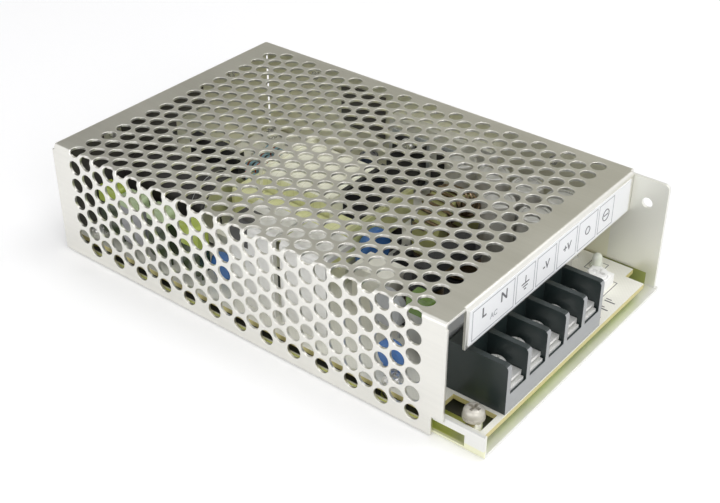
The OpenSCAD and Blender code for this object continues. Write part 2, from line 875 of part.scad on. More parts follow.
module transformer_bobbin() {
    tube = 1;
    inner_w = core_leg + 2 * wind_fit;
    inner_h = core_t + 2 * wind_fit;
    flange_x = winding_l / 2;
    color("ivory") on_transformer(core_mid) {
        difference() {
            union() {
                translate([-flange_x, -inner_w / 2 - tube, -inner_h / 2 - tube])
                    cube([2 * flange_x, inner_w + 2 * tube, inner_h + 2 * tube]);
                for (x = [-flange_x - 1.3, flange_x])
                    translate([x, -winding_w / 2 - 0.2, -core_mid + 1])
                        cube([1.3, winding_w + 0.4, core_mid + winding_h / 2 - 0.5]);
            }
            translate([-core_l, -inner_w / 2, -inner_h / 2]) cube([2 * core_l, inner_w, inner_h]);
        }
        for (sx = [-1, 1])
            translate([sx * (flange_x + 3.5) - 3.5, -14, -core_mid])
                cube([7, 28, core_mid - core_t / 2 - wind_fit]);
    }
}

module transformer_winding() {
    hole_w = core_leg + 2 * wind_fit + 2;
    hole_h = core_t + 2 * wind_fit + 2;
    color("#e4dfc0") on_transformer(core_mid)
        difference() {
            rotate([90, 0, 90]) translate([0, -winding_h / 2, -winding_l / 2])
                linear_extrude(winding_l) soft_rect(winding_w, winding_h, 3);
            translate([-core_l, -hole_w / 2, -hole_h / 2]) cube([2 * core_l, hole_w, hole_h]);
        }
}

module optocoupler() {
    color("#202224") on_board(94.5, 54) {
        translate([-2.3, -3.2, 0.5]) cube([4.6, 6.4, 3.4]);
        for (x = [-1.27, 1.27], sy = [-1, 1])
            translate([x - 0.3, sy * 3.5 - 0.3, 0]) cube([0.6, 0.6, 2]);
    }
}

module controller_chip() {
    color("#202224") on_board(42, 84) {
        translate([-4.8, -3.2, 0.5]) cube([9.6, 6.4, 3.3]);
        for (i = [-1.5 : 1.5], sy = [-1, 1])
            translate([i * 2.54 - 0.3, sy * 3.5 - 0.3, 0]) cube([0.6, 0.6, 2]);
    }
}

small_sites = [[38, 60], [38, 69], [50, 76], [93, 64], [56, 85]];

module small_capacitors() {
    color("#24303a")
    for (p = small_sites) on_board(p[0], p[1]) standing_can(6.3, 11);
}

// Heat path to the far wall: bar, pads, devices and the screws through all three
bar_u = 60;
bar_l = 40;
bar_t = 4;
bar_h = 24;

module heat_bar() {
    color("#d3d5d6")
    difference() {
        translate([rear_x + bar_u, wall_in_y - bar_t, board_top]) cube([bar_l, bar_t, bar_h]);
        at_rectifiers() rotate([-90, 0, 0])
            cylinder(d = device_screw_d + 2 * screw_clear, h = bar_t + 2);
    }
}

// The screw axes of the output rectifiers, on the bar's face towards the board
module at_rectifiers() {
    for (u = rectifier_u)
        translate([rear_x + u, wall_in_y - bar_t - 1, board_top + device_lead + device_hole_up]) children();
}

module rectifier_pads() {
    color("#9aa3a8")
    for (u = rectifier_u)
        translate([rear_x + u, wall_in_y - bar_t - pad_t, board_top + device_lead])
            difference() {
                translate([-rectifier_w / 2 - 1, 0, -1]) cube([rectifier_w + 2, pad_t, device_h + 2]);
                translate([0, -1, device_hole_up]) rotate([-90, 0, 0])
                    cylinder(d = device_screw_d + 2 * screw_clear, h = 3);
            }
}

module output_rectifiers() {
    color("#26282a")
    for (u = rectifier_u)
        translate([rear_x + u, wall_in_y - bar_t - pad_t, board_top])
            difference() {
                power_device(rectifier_w);
                device_bore(-3, 1);
            }
}

module rectifier_screws() {
    reach = tab_t + pad_t + bar_t + chassis_t;
    color("lightgray")
    for (u = rectifier_u)
        translate([rear_x + u, wall_in_y - bar_t - pad_t - tab_t, board_top + device_lead + device_hole_up])
            rotate([90, 0, 0]) pan_screw(device_screw_d, reach, 5.6, 2);
}

// Output choke: a toroid standing on edge, axis along X
toroid_at = [104, 61.5];
toroid_r = 11.5;
toroid_in = 6.5;
toroid_t = 9;
wire_t = 1.4;

module on_toroid() {
    on_board(toroid_at[0], toroid_at[1], toroid_r + wire_t) rotate([0, 90, 0]) children();
}

module output_choke_core() {
    color("#c9b23a") on_toroid()
        translate([0, 0, -toroid_t / 2])
            difference() {
                cylinder(r = toroid_r, h = toroid_t);
                translate([0, 0, -1]) cylinder(r = toroid_in, h = toroid_t + 2);
            }
}

module output_choke_winding() {
    color("#b87333") on_toroid()
        for (a = [15, 195])
            rotate(a) rotate_extrude(angle = 150)
                difference() {
                    translate([toroid_in - wire_t, -toroid_t / 2 - wire_t])
                        square([toroid_r - toroid_in + 2 * wire_t, toroid_t + 2 * wire_t]);
                    translate([toroid_in, -toroid_t / 2]) square([toroid_r - toroid_in, toroid_t]);
                }
}

output_sites = [[96, -17], [108, -17], [120, -17], [132, -17], [118, -29.5], [130.5, -29.5]];

module output_capacitors() {
    color("#76736c")
    for (p = output_sites) on_board(p[0], p[1]) standing_can(10, 25);
}

// Output trimmer: a rotor that turns in a round recess of its body
trimmer_at = [-12.6, -17.1];
trimmer_side = 7.2;
trimmer_h = 3.6;
rotor_d = 5.8;
rotor_sunk = 1.6;
rotor_h = 2.6;
rotor_run = 0.1;

module trimmer_body() {
    color("ivory") on_board(trimmer_at[0], trimmer_at[1])
        difference() {
            translate([-trimmer_side / 2, -trimmer_side / 2, 0])
                cube([trimmer_side, trimmer_side, trimmer_h]);
            translate([0, 0, trimmer_h - rotor_sunk])
                cylinder(d = rotor_d + 2 * rotor_run, h = rotor_sunk + 1);
            translate([0, 0, trimmer_h - rotor_sunk - 1.5]) cylinder(d = 2 + 2 * rotor_run, h = 3);
        }
}

module trimmer_rotor() {
    color("ivory") on_board(trimmer_at[0], trimmer_at[1], trimmer_h - rotor_sunk + rotor_run)
        difference() {
            union() {
                cylinder(d = rotor_d, h = rotor_h);
                translate([0, 0, -1.2]) cylinder(d = 2, h = 1.2 + eps);
            }
            for (a = [0, 90])
                rotate(a) translate([-2.1, -0.45, rotor_h - 1]) cube([4.2, 0.9, 2]);
        }
}

module indicator_lamp() {
    color("#5fbf4a") on_board(-17.5, -8.4) {
        cylinder(d = 3.8, h = 1);
        cylinder(d = 3, h = 3.2);
        translate([0, 0, 3.2]) sphere(d = 3);
    }
}

chassis();
cover();
cover_screws();
label_strip();
insulating_film();
board();
board_standoffs();
board_screws();
earth_post();
earth_screw();
terminal_block();
terminal_plates();
terminal_clamps();
terminal_screws();
fuse_tube();
fuse_caps();
fuse_clips();
inrush_thermistor();
varistor();
x_capacitors();
y_capacitors();
line_choke_core();
line_choke_bobbin();
line_choke_windings();
bridge_rectifier();
bulk_capacitor();
film_capacitors();
snubber_capacitors();
primary_heatsink();
primary_switch();
primary_switch_screw();
power_resistors();
transformer_core();
transformer_bobbin();
transformer_winding();
optocoupler();
controller_chip();
small_capacitors();
heat_bar();
output_rectifiers();
rectifier_pads();
rectifier_screws();
output_choke_core();
output_choke_winding();
output_capacitors();
trimmer_body();
trimmer_rotor();
indicator_lamp();
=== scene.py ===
"""Finishes, printing, windings and studio for an enclosed switching power supply."""
import logging
import math
import random
from dataclasses import dataclass, field
from enum import Enum
from typing import Any, Callable, Sequence

import bmesh
import bpy
from mathutils import Matrix, Vector


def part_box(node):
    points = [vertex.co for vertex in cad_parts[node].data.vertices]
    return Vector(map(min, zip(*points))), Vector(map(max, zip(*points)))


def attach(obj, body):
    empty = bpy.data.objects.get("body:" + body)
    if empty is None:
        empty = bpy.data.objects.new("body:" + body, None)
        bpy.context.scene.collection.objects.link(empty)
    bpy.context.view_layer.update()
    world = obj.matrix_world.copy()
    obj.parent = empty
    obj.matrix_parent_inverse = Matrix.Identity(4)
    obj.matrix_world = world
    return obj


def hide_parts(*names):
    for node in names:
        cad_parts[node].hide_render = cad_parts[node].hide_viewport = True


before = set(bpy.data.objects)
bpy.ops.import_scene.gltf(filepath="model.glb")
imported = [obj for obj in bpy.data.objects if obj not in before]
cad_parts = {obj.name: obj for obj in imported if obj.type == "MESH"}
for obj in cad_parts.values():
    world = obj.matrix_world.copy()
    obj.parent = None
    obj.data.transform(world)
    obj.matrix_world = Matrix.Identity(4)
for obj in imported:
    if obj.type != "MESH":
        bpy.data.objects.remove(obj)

LOG = logging.getLogger("power_supply")
MM = 0.001
FAR = 1.0
LOOKS_ALONG = 0.7
SMOOTH_ANGLE = math.radians(35.0)
CASE_BODY = "case"
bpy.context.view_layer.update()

Colour = tuple[float, float, float]
Point = tuple[float, float, float]
Span = tuple[float, float]


class Axis(Enum):
    """A direction of the object's own frame."""

    X = 0
    Y = 1
    Z = 2


# ---- shader maths


def _operator(operation: str, swapped: bool = False) -> Callable[["Val", Any], "Val"]:
    """Make an arithmetic or comparing method of Val; a comparison gives 1 or 0.

    Args:
        operation: The Math node's operation.
        swapped: Whether the other term comes first.

    Returns:
        The method.
    """
    def method(self: "Val", other: Any) -> "Val":
        """Return the result of self and the other term."""
        return self._op(operation, *((other, self) if swapped else (self, other)))
    return method


@dataclass(frozen=True, eq=False)
class Val:
    """A number that varies over a surface, with ordinary arithmetic on it."""

    graph: "Graph"
    socket: Any

    def _op(self, operation: str, *terms: Any, clamp: bool = False) -> "Val":
        """Add one Math node.

        Args:
            operation: The Math node's operation.
            terms: Numbers or values, in the node's own order.
            clamp: Whether the result is held between 0 and 1.

        Returns:
            The node's result.
        """
        settings = {"operation": operation, "use_clamp": clamp}
        made = self.graph.node("ShaderNodeMath", settings, dict(enumerate(terms)))
        return Val(self.graph, made.outputs[0])

    __add__ = _operator("ADD")
    __radd__ = _operator("ADD", swapped=True)
    __sub__ = _operator("SUBTRACT")
    __rsub__ = _operator("SUBTRACT", swapped=True)
    __mul__ = _operator("MULTIPLY")
    __rmul__ = _operator("MULTIPLY", swapped=True)
    __truediv__ = _operator("DIVIDE")
    __gt__ = _operator("GREATER_THAN")
    __lt__ = _operator("LESS_THAN")

    def __abs__(self) -> "Val":
        """Return the size of self."""
        return self._op("ABSOLUTE", self)

    def sine(self) -> "Val":
        """Return the sine of self, in radians."""
        return self._op("SINE", self)

    def wrapped(self, period: float) -> "Val":
        """Return self counted from 0 to period, over and over."""
        return self._op("WRAP", self, period, 0.0)

    def held(self) -> "Val":
        """Return self held between 0 and 1."""
        return self._op("ADD", self, 0.0, clamp=True)


class Graph:
    """The nodes of a material or a world, with short ways to add the usual ones."""

    def __init__(self, owner: Any) -> None:
        """Start with no nodes.

        Args:
            owner: The material or world that holds them.
        """
        owner.use_nodes = True
        self.owner = owner
        self.tree = owner.node_tree
        self.tree.nodes.clear()

    def node(self, kind: str, settings: dict[str, Any] | None = None,
             inputs: dict[Any, Any] | None = None) -> Any:
        """Add any node: its settings first, then its sockets.

        Args:
            kind: The node's type name.
            settings: Attributes of the node.
            inputs: Values or links, by socket name or number.

        Returns:
            The new node.
        """
        made = self.tree.nodes.new(kind)
        for key, value in (settings or {}).items():
            setattr(made, key, value)
        for key, value in (inputs or {}).items():
            self.feed(made.inputs[key], value)
        return made

    def feed(self, socket: Any, value: Any) -> None:
        """Set or link one input socket.

        Args:
            socket: The input socket.
            value: A number, a colour, a wrapped value or an output socket.
        """
        if isinstance(value, Val):
            self.tree.links.new(value.socket, socket)
        elif isinstance(value, bpy.types.NodeSocket):
            self.tree.links.new(value, socket)
        elif isinstance(value, tuple) and len(value) == 3 and socket.type == "RGBA":
            socket.default_value = (*value, 1.0)
        else:
            socket.default_value = value

    def place(self) -> Any:
        """Return the object-space position socket."""
        return self.node("ShaderNodeTexCoord").outputs["Object"]

    def part_of(self, vector: Any, axis: Axis) -> Val:
        """Return one component of a vector.

        Args:
            vector: A vector socket.
            axis: The component wanted.

        Returns:
            The component as a value.
        """
        made = self.node("ShaderNodeSeparateXYZ", None, {0: vector})
        return Val(self, made.outputs[axis.value])

    def run(self, axis: Axis) -> Val:
        """Return one component of the object-space position."""
        return self.part_of(self.place(), axis)

    def facing(self, axis: Axis) -> Val:
        """Return one component of the true surface normal."""
        return self.part_of(self.node("ShaderNodeNewGeometry").outputs["True Normal"], axis)

    def stretched(self, scale: Point) -> Any:
        """Return the object position scaled along each axis."""
        return self.node("ShaderNodeMapping", None,
                         {"Vector": self.place(), "Scale": scale}).outputs[0]

    def noise(self, scale: float, detail: float = 3.0, stretch: Point | None = None) -> Val:
        """Return a soft noise value.

        Args:
            scale: Features per unit.
            detail: Octaves.
            stretch: How the position is scaled along each axis first.

        Returns:
            The noise, around one half.
        """
        vector = self.stretched(stretch) if stretch else self.place()
        made = self.node("ShaderNodeTexNoise", None,
                         {"Vector": vector, "Scale": scale, "Detail": detail})
        return Val(self, made.outputs["Fac"])

    def cells(self, vector: Any, scale: float) -> Val:
        """Return the distance to the nearest cell centre."""
        made = self.node("ShaderNodeTexVoronoi", None, {"Vector": vector, "Scale": scale})
        return Val(self, made.outputs["Distance"])

    def mix(self, factor: Any, first: Any, second: Any) -> Any:
        """Blend two colours.

        Args:
            factor: 0 gives the first, 1 the second.
            first: A colour or colour socket.
            second: A colour or colour socket.

        Returns:
            The blended colour socket.
        """
        made = self.node("ShaderNodeMix", {"data_type": "RGBA"},
                         {0: factor, 6: first, 7: second})
        return made.outputs[2]

    def patched(self, colour: Any, patches: "Sequence[Patch]") -> Any:
        """Recolour the parts of a surface that lie inside boxes of space.

        Args:
            colour: The colour elsewhere.
            patches: The boxes and their colours; a later one covers an earlier one.

        Returns:
            The colour socket.
        """
        place = self.place()
        for patch in patches:
            inside: Any = 1.0
            for axis, span in zip(Axis, (patch.x, patch.y, patch.z)):
                if span:
                    run = self.part_of(place, axis)
                    inside = (run > span[0]) * (run < span[1]) * inside
            colour = self.mix(inside.held(), colour, patch.colour)
        return colour

    def bump(self, height: Val, strength: float, depth: float, under: Any = None) -> Any:
        """Return a normal raised by a height value.

        Args:
            height: The height, around 0 to 1.
            strength: The bump's strength.
            depth: The real height of 1, in metres.
            under: A normal to start from.

        Returns:
            The normal socket.
        """
        inputs = {"Height": height, "Strength": strength, "Distance": depth}
        if under is not None:
            inputs["Normal"] = under
        return self.node("ShaderNodeBump", None, inputs).outputs[0]

    def rounded(self, radius: float) -> Any:
        """Return a normal that is rounded near sharp edges."""
        return self.node("ShaderNodeBevel", {"samples": 4}, {"Radius": radius}).outputs[0]

    def seen_by(self, *rays: str) -> Val:
        """Return 1 for some kinds of ray and 0 for the rest.

        Args:
            rays: Outputs of the Light Path node.

        Returns:
            The value.
        """
        path = self.node("ShaderNodeLightPath")
        seen = Val(self, path.outputs[rays[0]])
        for ray in rays[1:]:
            seen = (seen + Val(self, path.outputs[ray])).held()
        return seen


class Surface(Graph):
    """The nodes of one surface material round a Principled shader."""

    def __init__(self, name: str) -> None:
        """Start a material of this name."""
        super().__init__(bpy.data.materials.new(name))
        self.shader = self.node("ShaderNodeBsdfPrincipled")
        self.node("ShaderNodeOutputMaterial", None, {"Surface": self.shader.outputs[0]})

    def shade(self, **sockets: Any) -> bpy.types.Material:
        """Feed the shader's sockets and hand the material over.

        Args:
            sockets: Values or links, with _ in place of spaces in the names.

        Returns:
            The finished material.
        """
        for key, value in sockets.items():
            self.feed(self.shader.inputs[key.replace("_", " ")], value)
        return self.owner


# ---- finishes


def mm(low: float, high: float = 1000.0, start: float = 0.0) -> Span:
    """Return a span given in millimetres.

    Args:
        low: Its low end.
        high: Its high end, by default past everything.
        start: Where both are counted from, in metres.

    Returns:
        The span in metres.
    """
    return start + low * MM, start + high * MM


def shade_of(colour: Colour, times: float, plus: float = 0.0) -> Colour:
    """Return a colour scaled, raised and held at or below 1.

    Args:
        colour: The colour to start from.
        times: What each channel is multiplied by.
        plus: What is then added.

    Returns:
        The new colour.
    """
    return tuple(min(1.0, c * times + plus) for c in colour)


@dataclass(frozen=True)
class Patch:
    """Another colour inside a box of space that may be endless along some axes."""

    colour: Colour
    x: Span | None = None
    y: Span | None = None
    z: Span | None = None


@dataclass(frozen=True)
class Finish:
    """A named surface that builds its own material."""

    name: str

    def build(self) -> bpy.types.Material:
        """Return the finished material."""
        graph = Surface(self.name)
        return graph.shade(**self.sockets(graph))

    def sockets(self, graph: Graph) -> dict[str, Any]:
        """Return the shader's inputs, by name with _ in place of spaces.

        Args:
            graph: The material's graph.
        """
        raise NotImplementedError


@dataclass(frozen=True)
class RolledSheet(Finish):
    """Plated sheet metal with a rolling grain along one axis and a light haze."""

    colour: Colour
    rough: float = 0.3
    grain: Axis = Axis.X
    grain_depth: float = 0.000004
    edge: float = 0.00015
    metal: float = 1.0
    floor_reflection: Colour | None = None
    floor_front: float = 0.0
    floor_fade: float = 12.0 * MM
    floor_top: float = 3.0 * MM
    patches: tuple[Patch, ...] = ()

    def sockets(self, graph: Graph) -> dict[str, Any]:
        """Return the inputs; the floor's painted reflection fades out towards its front edge."""
        scale = [900.0, 900.0, 900.0]
        scale[self.grain.value] = 16.0
        streaks = graph.noise(1.0, 2.0, tuple(scale))
        haze = graph.noise(45.0, 4.0)
        marks = graph.noise(420.0, 3.0)
        dull = shade_of(self.colour, 0.86)
        tone = (haze * 0.6 + streaks * 0.5 - 0.05).held()
        rough = self.rough - 0.08 + haze * 0.1 + streaks * 0.08
        normal = graph.bump(streaks + marks * 0.4, 0.35, self.grain_depth,
                            graph.rounded(self.edge))
        colour = graph.mix(tone, dull, self.colour)
        # The floor's top inside the case is painted lime: a painted reflection of the board's
        # green underside.
        if self.floor_reflection:
            floor = (graph.facing(Axis.Z) > LOOKS_ALONG) * (graph.run(Axis.Z) < self.floor_top)
            inside = ((self.floor_front - graph.run(Axis.X)) / self.floor_fade).held()
            colour = graph.mix((floor * inside).held(), colour, self.floor_reflection)
        colour = graph.patched(colour, self.patches)
        return dict(Base_Color=colour, Metallic=self.metal, Roughness=rough, Normal=normal)


@dataclass(frozen=True)
class Plated(Finish):
    """Small bright metal parts: screws, posts, clips and caps."""

    colour: Colour
    rough: float = 0.22
    metal: float = 1.0

    def sockets(self, graph: Graph) -> dict[str, Any]:
        """Return the shader's inputs."""
        spots = graph.noise(900.0, 4.0)
        dull = shade_of(self.colour, 0.72)
        normal = graph.bump(spots, 0.3, 0.00001, graph.rounded(0.00012))
        return dict(Base_Color=graph.mix(spots, dull, self.colour), Metallic=self.metal,
                    Roughness=self.rough + spots * 0.14, Normal=normal)


@dataclass(frozen=True)
class Moulded(Finish):
    """Moulded plastic or epoxy with a fine skin texture and softened edges."""

    colour: Colour
    rough: float = 0.42
    skin: float = 0.00001
    skin_scale: float = 2600.0
    edge: float = 0.00025
    speck: float = 0.0
    front_reflection: Colour | None = None
    front_place: float = 0.0
    patches: tuple[Patch, ...] = ()

    def sockets(self, graph: Graph) -> dict[str, Any]:
        """Return the inputs, with a painted reflection, paler, on faces that look along +X beyond
        the front's place.
        """
        skin = graph.noise(self.skin_scale, 2.0)
        cloud = graph.noise(130.0, 3.0)
        light = shade_of(self.colour, 1.25, 0.006)
        colour = graph.mix(cloud, self.colour, light)
        if self.speck:
            specks = (skin > 0.63) * self.speck
            colour = graph.mix(specks, colour, shade_of(self.colour, 2.2, 0.05))
        # Faces looking along +X are painted paler: a painted reflection of the white floor and
        # background.
        if self.front_reflection:
            front = (graph.facing(Axis.X) > LOOKS_ALONG) * (graph.run(Axis.X) > self.front_place)
            colour = graph.mix(front.held(), colour, self.front_reflection)
        colour = graph.patched(colour, self.patches)
        normal = graph.bump(skin, 0.4, self.skin, graph.rounded(self.edge))
        return dict(Base_Color=colour, Roughness=self.rough - 0.06 + cloud * 0.12,
                    Normal=normal)


@dataclass(frozen=True)
class Lacquer(Finish):
    """Dipped lacquer: glossy and slightly wavy."""

    colour: Colour
    patches: tuple[Patch, ...] = ()

    def sockets(self, graph: Graph) -> dict[str, Any]:
        """Return the shader's inputs."""
        waves = graph.noise(260.0, 2.0)
        colour = graph.mix(waves, shade_of(self.colour, 0.7), self.colour)
        colour = graph.patched(colour, self.patches)
        normal = graph.bump(waves, 0.5, 0.00015, graph.rounded(0.0006))
        return dict(Base_Color=colour, Roughness=0.2 + waves * 0.1,
                    Coat_Weight=0.4, Coat_Roughness=0.1, Normal=normal)


@dataclass(frozen=True)
class CanSleeve(Finish):
    """Aluminium can in a shrink sleeve: bare scored top, plain stripe down one side."""

    sleeve: Colour
    stripe: Colour
    top: float
    lying: bool = False

    def sockets(self, graph: Graph) -> dict[str, Any]:
        """Return the shader's inputs."""
        place = graph.place()
        up = graph.facing(Axis.X if self.lying else Axis.Z)
        level = graph.part_of(place, Axis.X if self.lying else Axis.Z)
        if self.lying:
            bare = (abs(up) > 0.9).held()
        else:
            bare = ((up > 0.9) * (level > self.top)).held()
        side = graph.facing(Axis.Y)
        mark = ((side > 0.86) * (1 - bare)).held()
        wrinkle = graph.noise(1.0, 3.0, (300.0, 300.0, 40.0))
        wet = graph.mix(wrinkle, self.sleeve, shade_of(self.sleeve, 1.5))
        colour = graph.mix(bare, graph.mix(mark, wet, self.stripe), (0.78, 0.79, 0.8))
        return dict(Base_Color=colour, Metallic=bare,
                    Roughness=0.34 - bare * 0.06 + wrinkle * 0.05,
                    Normal=graph.bump(wrinkle, 0.3, 0.00004))


@dataclass(frozen=True)
class Laminate(Finish):
    """Circuit board: bare cream face above, green mask with tracks below."""

    face: Colour
    mask: Colour

    def sockets(self, graph: Graph) -> dict[str, Any]:
        """Return the shader's inputs."""
        place = graph.place()
        up = graph.facing(Axis.Z)
        above = (up > 0.5).held()
        below = (up < -0.5).held()
        along = (graph.part_of(place, Axis.X) * 5200.0).sine()
        across = (graph.part_of(place, Axis.Y) * 5200.0).sine()
        weave = (along * across * 0.5 + 0.5).held()
        cloud = graph.noise(60.0)
        worn = shade_of(self.face, 0.88)
        top = graph.mix((weave * 0.4 + cloud * 0.6).held(), worn, self.face)
        tracks = (graph.cells(graph.stretched((1.0, 1.0, 0.0)), 230.0) > 0.52).held()
        under = graph.mix(tracks, self.mask, shade_of(self.mask, 1.5))
        rim = (0.62, 0.55, 0.25)
        colour = graph.mix(above, graph.mix(below, rim, under), top)
        return dict(Base_Color=colour, Roughness=0.5 - below * 0.2 + cloud * 0.08,
                    Normal=graph.bump(weave + tracks * below, 0.25, 0.00002))


@dataclass(frozen=True)
class WoundTape(Finish):
    """Layers of polyester tape wound round one axis, with a lapped end."""

    top: Colour
    side: Colour
    pitch: float = 0.0026
    patches: tuple[Patch, ...] = ()

    def sockets(self, graph: Graph) -> dict[str, Any]:
        """Return the shader's inputs."""
        place = graph.place()
        run = graph.part_of(place, Axis.X)
        laps = run.wrapped(self.pitch) / self.pitch
        seam = (laps < 0.05).held()
        crease = graph.noise(1.0, 3.0, (120.0, 500.0, 500.0))
        # Up-facing faces and the other faces take separate colours: a painted difference of light
        # between the tape's top and its sides.
        up = (graph.facing(Axis.Z) > 0.6).held()
        base = graph.mix(up, self.side, self.top)
        colour = graph.mix((seam * 0.35 + crease * 0.2).held(), base, (0.5, 0.45, 0.22))
        colour = graph.patched(colour, self.patches)
        return dict(Base_Color=colour, Roughness=0.28 + crease * 0.12,
                    Normal=graph.bump(crease - seam, 0.3, 0.00006))


@dataclass(frozen=True)
class Enamelled(Finish):
    """Enamelled copper wire."""

    colour: Colour

    def sockets(self, graph: Graph) -> dict[str, Any]:
        """Return the shader's inputs."""
        cloud = graph.noise(400.0, 2.0)
        dark = shade_of(self.colour, 0.6)
        return dict(Base_Color=graph.mix(cloud, dark, self.colour), Metallic=0.85,
                    Roughness=0.24 + cloud * 0.1, Coat_Weight=0.5, Coat_Roughness=0.08)


@dataclass(frozen=True)
class Banded(Finish):
    """Lacquered resistor bodies with coloured bands and tinned leads."""

    body: Colour
    centre: float
    half: float = 5.5 * MM
    bands: tuple[tuple[float, float, Colour], ...] = (
        (0.24, 0.31, (0.3, 0.08, 0.03)), (0.42, 0.49, (0.02, 0.02, 0.02)),
        (0.58, 0.65, (0.65, 0.1, 0.03)), (0.8, 0.87, (0.55, 0.42, 0.1)))

    def sockets(self, graph: Graph) -> dict[str, Any]:
        """Return the shader's inputs."""
        offset = (graph.run(Axis.X) - self.centre) / self.half
        stops = [(0.0, self.body)]
        for start, end, colour in self.bands:
            stops += [(start, colour), (end, self.body)]
        bands = graph.node("ShaderNodeValToRGB", None, {0: (offset * 0.5 + 0.5).held()})
        bands.color_ramp.interpolation = "CONSTANT"
        elements = bands.color_ramp.elements
        while len(elements) < len(stops):
            elements.new(0.5)
        for element, (place, colour) in zip(elements, stops):
            element.position, element.color = place, (*colour, 1.0)
        lead = (abs(offset) > 1.0).held()
        gloss = graph.noise(300.0, 2.0)
        colour = graph.mix(lead, bands.outputs[0], (0.8, 0.8, 0.78))
        return dict(Base_Color=colour, Metallic=lead, Roughness=0.25 + gloss * 0.12)


@dataclass(frozen=True)
class PrintedFilm(Finish):
    """White polyester film with a faint leathery print texture."""

    colour: Colour

    def sockets(self, graph: Graph) -> dict[str, Any]:
        """Return the shader's inputs."""
        tooth = graph.noise(1800.0, 2.0)
        faint = shade_of(self.colour, 0.95)
        return dict(Base_Color=graph.mix(tooth, faint, self.colour),
                    Roughness=0.38 + tooth * 0.1,
                    Normal=graph.bump(tooth, 0.2, 0.00001))


@dataclass(frozen=True)
class ClearGlass(Finish):
    """Clear glass with a faint draw line."""


    def sockets(self, graph: Graph) -> dict[str, Any]:
        """Return the shader's inputs."""
        lines = graph.noise(1.0, 1.0, (600.0, 20.0, 600.0))
        return dict(Base_Color=graph.mix(lines, (0.93, 0.96, 0.95), (1.0, 1.0, 1.0)),
                    Roughness=0.03, IOR=1.5, Transmission_Weight=0.95,
                    Normal=graph.bump(lines, 0.1, 0.00001))


@dataclass(frozen=True)
class Lens(Finish):
    """Tinted, part-clear moulded lens."""

    colour: Colour

    def sockets(self, graph: Graph) -> dict[str, Any]:
        """Return the shader's inputs."""
        cloud = graph.noise(500.0, 2.0)
        bright = shade_of(self.colour, 1.3)
        return dict(Base_Color=graph.mix(cloud, self.colour, bright),
                    Roughness=0.16 + cloud * 0.06, IOR=1.5, Transmission_Weight=0.1)


@dataclass
class Dresser:
    """Gives CAD nodes and new pieces their finishes, building each finish once."""

    built: dict[str, bpy.types.Material] = field(default_factory=dict)

    def material(self, finish: Finish) -> bpy.types.Material:
        """Return a finish's material, building it the first time.

        Args:
            finish: The finish.

        Returns:
            The material.
        """
        if finish.name not in self.built:
            self.built[finish.name] = finish.build()
        return self.built[finish.name]

    def dress(self, node: str, finish: Finish) -> None:
        """Give a CAD node its finish.

        Args:
            node: The node's name.
            finish: The finish to use.
        """
        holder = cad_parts[node]
        for index in range(max(1, len(holder.material_slots))):
            if index >= len(holder.data.materials):
                holder.data.materials.append(self.material(finish))
            holder.material_slots[index].material = self.material(finish)
        LOG.info("finished %s in %s", node, finish.name)


CHASSIS_LOW, CHASSIS_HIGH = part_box("chassis")
BOARD_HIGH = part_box("board")[1]
CORE_LOW, CORE_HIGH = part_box("transformer_core")
FILM_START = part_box("film_capacitors")[0][0]
WINDING_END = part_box("transformer_winding")[1][0]
HALF_SHEET = 0.6 * MM
INSIDE_REAR = CHASSIS_LOW[0] + HALF_SHEET
INSIDE_SIDES = (CHASSIS_LOW[1] + HALF_SHEET, CHASSIS_HIGH[1] - HALF_SHEET)
ABOVE_FLOOR = mm(2.0)
# The chassis floor gets a painted lime reflection of the board's underside.
ZINC = RolledSheet(
    "zinc_sheet", (0.88, 0.88, 0.85), rough=0.42, metal=0.5, floor_reflection=(0.66, 0.70, 0.2),
    floor_front=CHASSIS_HIGH[0] - 0.5 * MM, patches=(
        # The first two patches paint the inner faces warmer, most of all under the cover: a
        # painted warm cast of the light inside the case.
        Patch((0.86, 0.86, 0.79), (INSIDE_REAR, FAR), INSIDE_SIDES, ABOVE_FLOOR),
        Patch((0.88, 0.87, 0.70), (INSIDE_REAR, 62.0 * MM), INSIDE_SIDES, ABOVE_FLOOR),
        # Painted shade and painted green reflection at the far wall's foot, seen through the
        # board's notch.
        Patch((0.42, 0.46, 0.18), mm(60.0, 75.5), (BOARD_HIGH[1], INSIDE_SIDES[1]),
              (0.0, BOARD_HIGH[2])),
        # Painted yellow-green reflection on the near wall's lowest strip towards the front.
        Patch((0.84, 0.84, 0.62), mm(60.0), (-FAR, CHASSIS_LOW[1] + 0.8 * MM),
              mm(-1000.0, 2.9))))
SATIN = RolledSheet("satin_cover", (0.86, 0.85, 0.80), rough=0.34, edge=0.00035)
DARK_END = (0.012, 0.012, 0.013)
# The aluminium's dark patch is painted shade on the heatsink's rear upper corner by the near wall.
ALUMINIUM = RolledSheet(
    "aluminium_plate", (0.92, 0.92, 0.90), rough=0.34, metal=0.5, patches=(
        Patch((0.1, 0.1, 0.1), mm(-14.0, -6.5), mm(-1000.0, -33.0), mm(25.5)),))
BRIGHT = Plated("bright_screw", (0.88, 0.88, 0.86), rough=0.2, metal=0.7)
NICKEL = Plated("nickel", (0.84, 0.82, 0.77), rough=0.12)
TERMINAL_PLATE = Plated("terminal_plating", (0.93, 0.93, 0.90), rough=0.28, metal=0.4)
DULL_SCREW = Plated("dull_screw", (0.68, 0.65, 0.58), rough=0.36, metal=0.4)
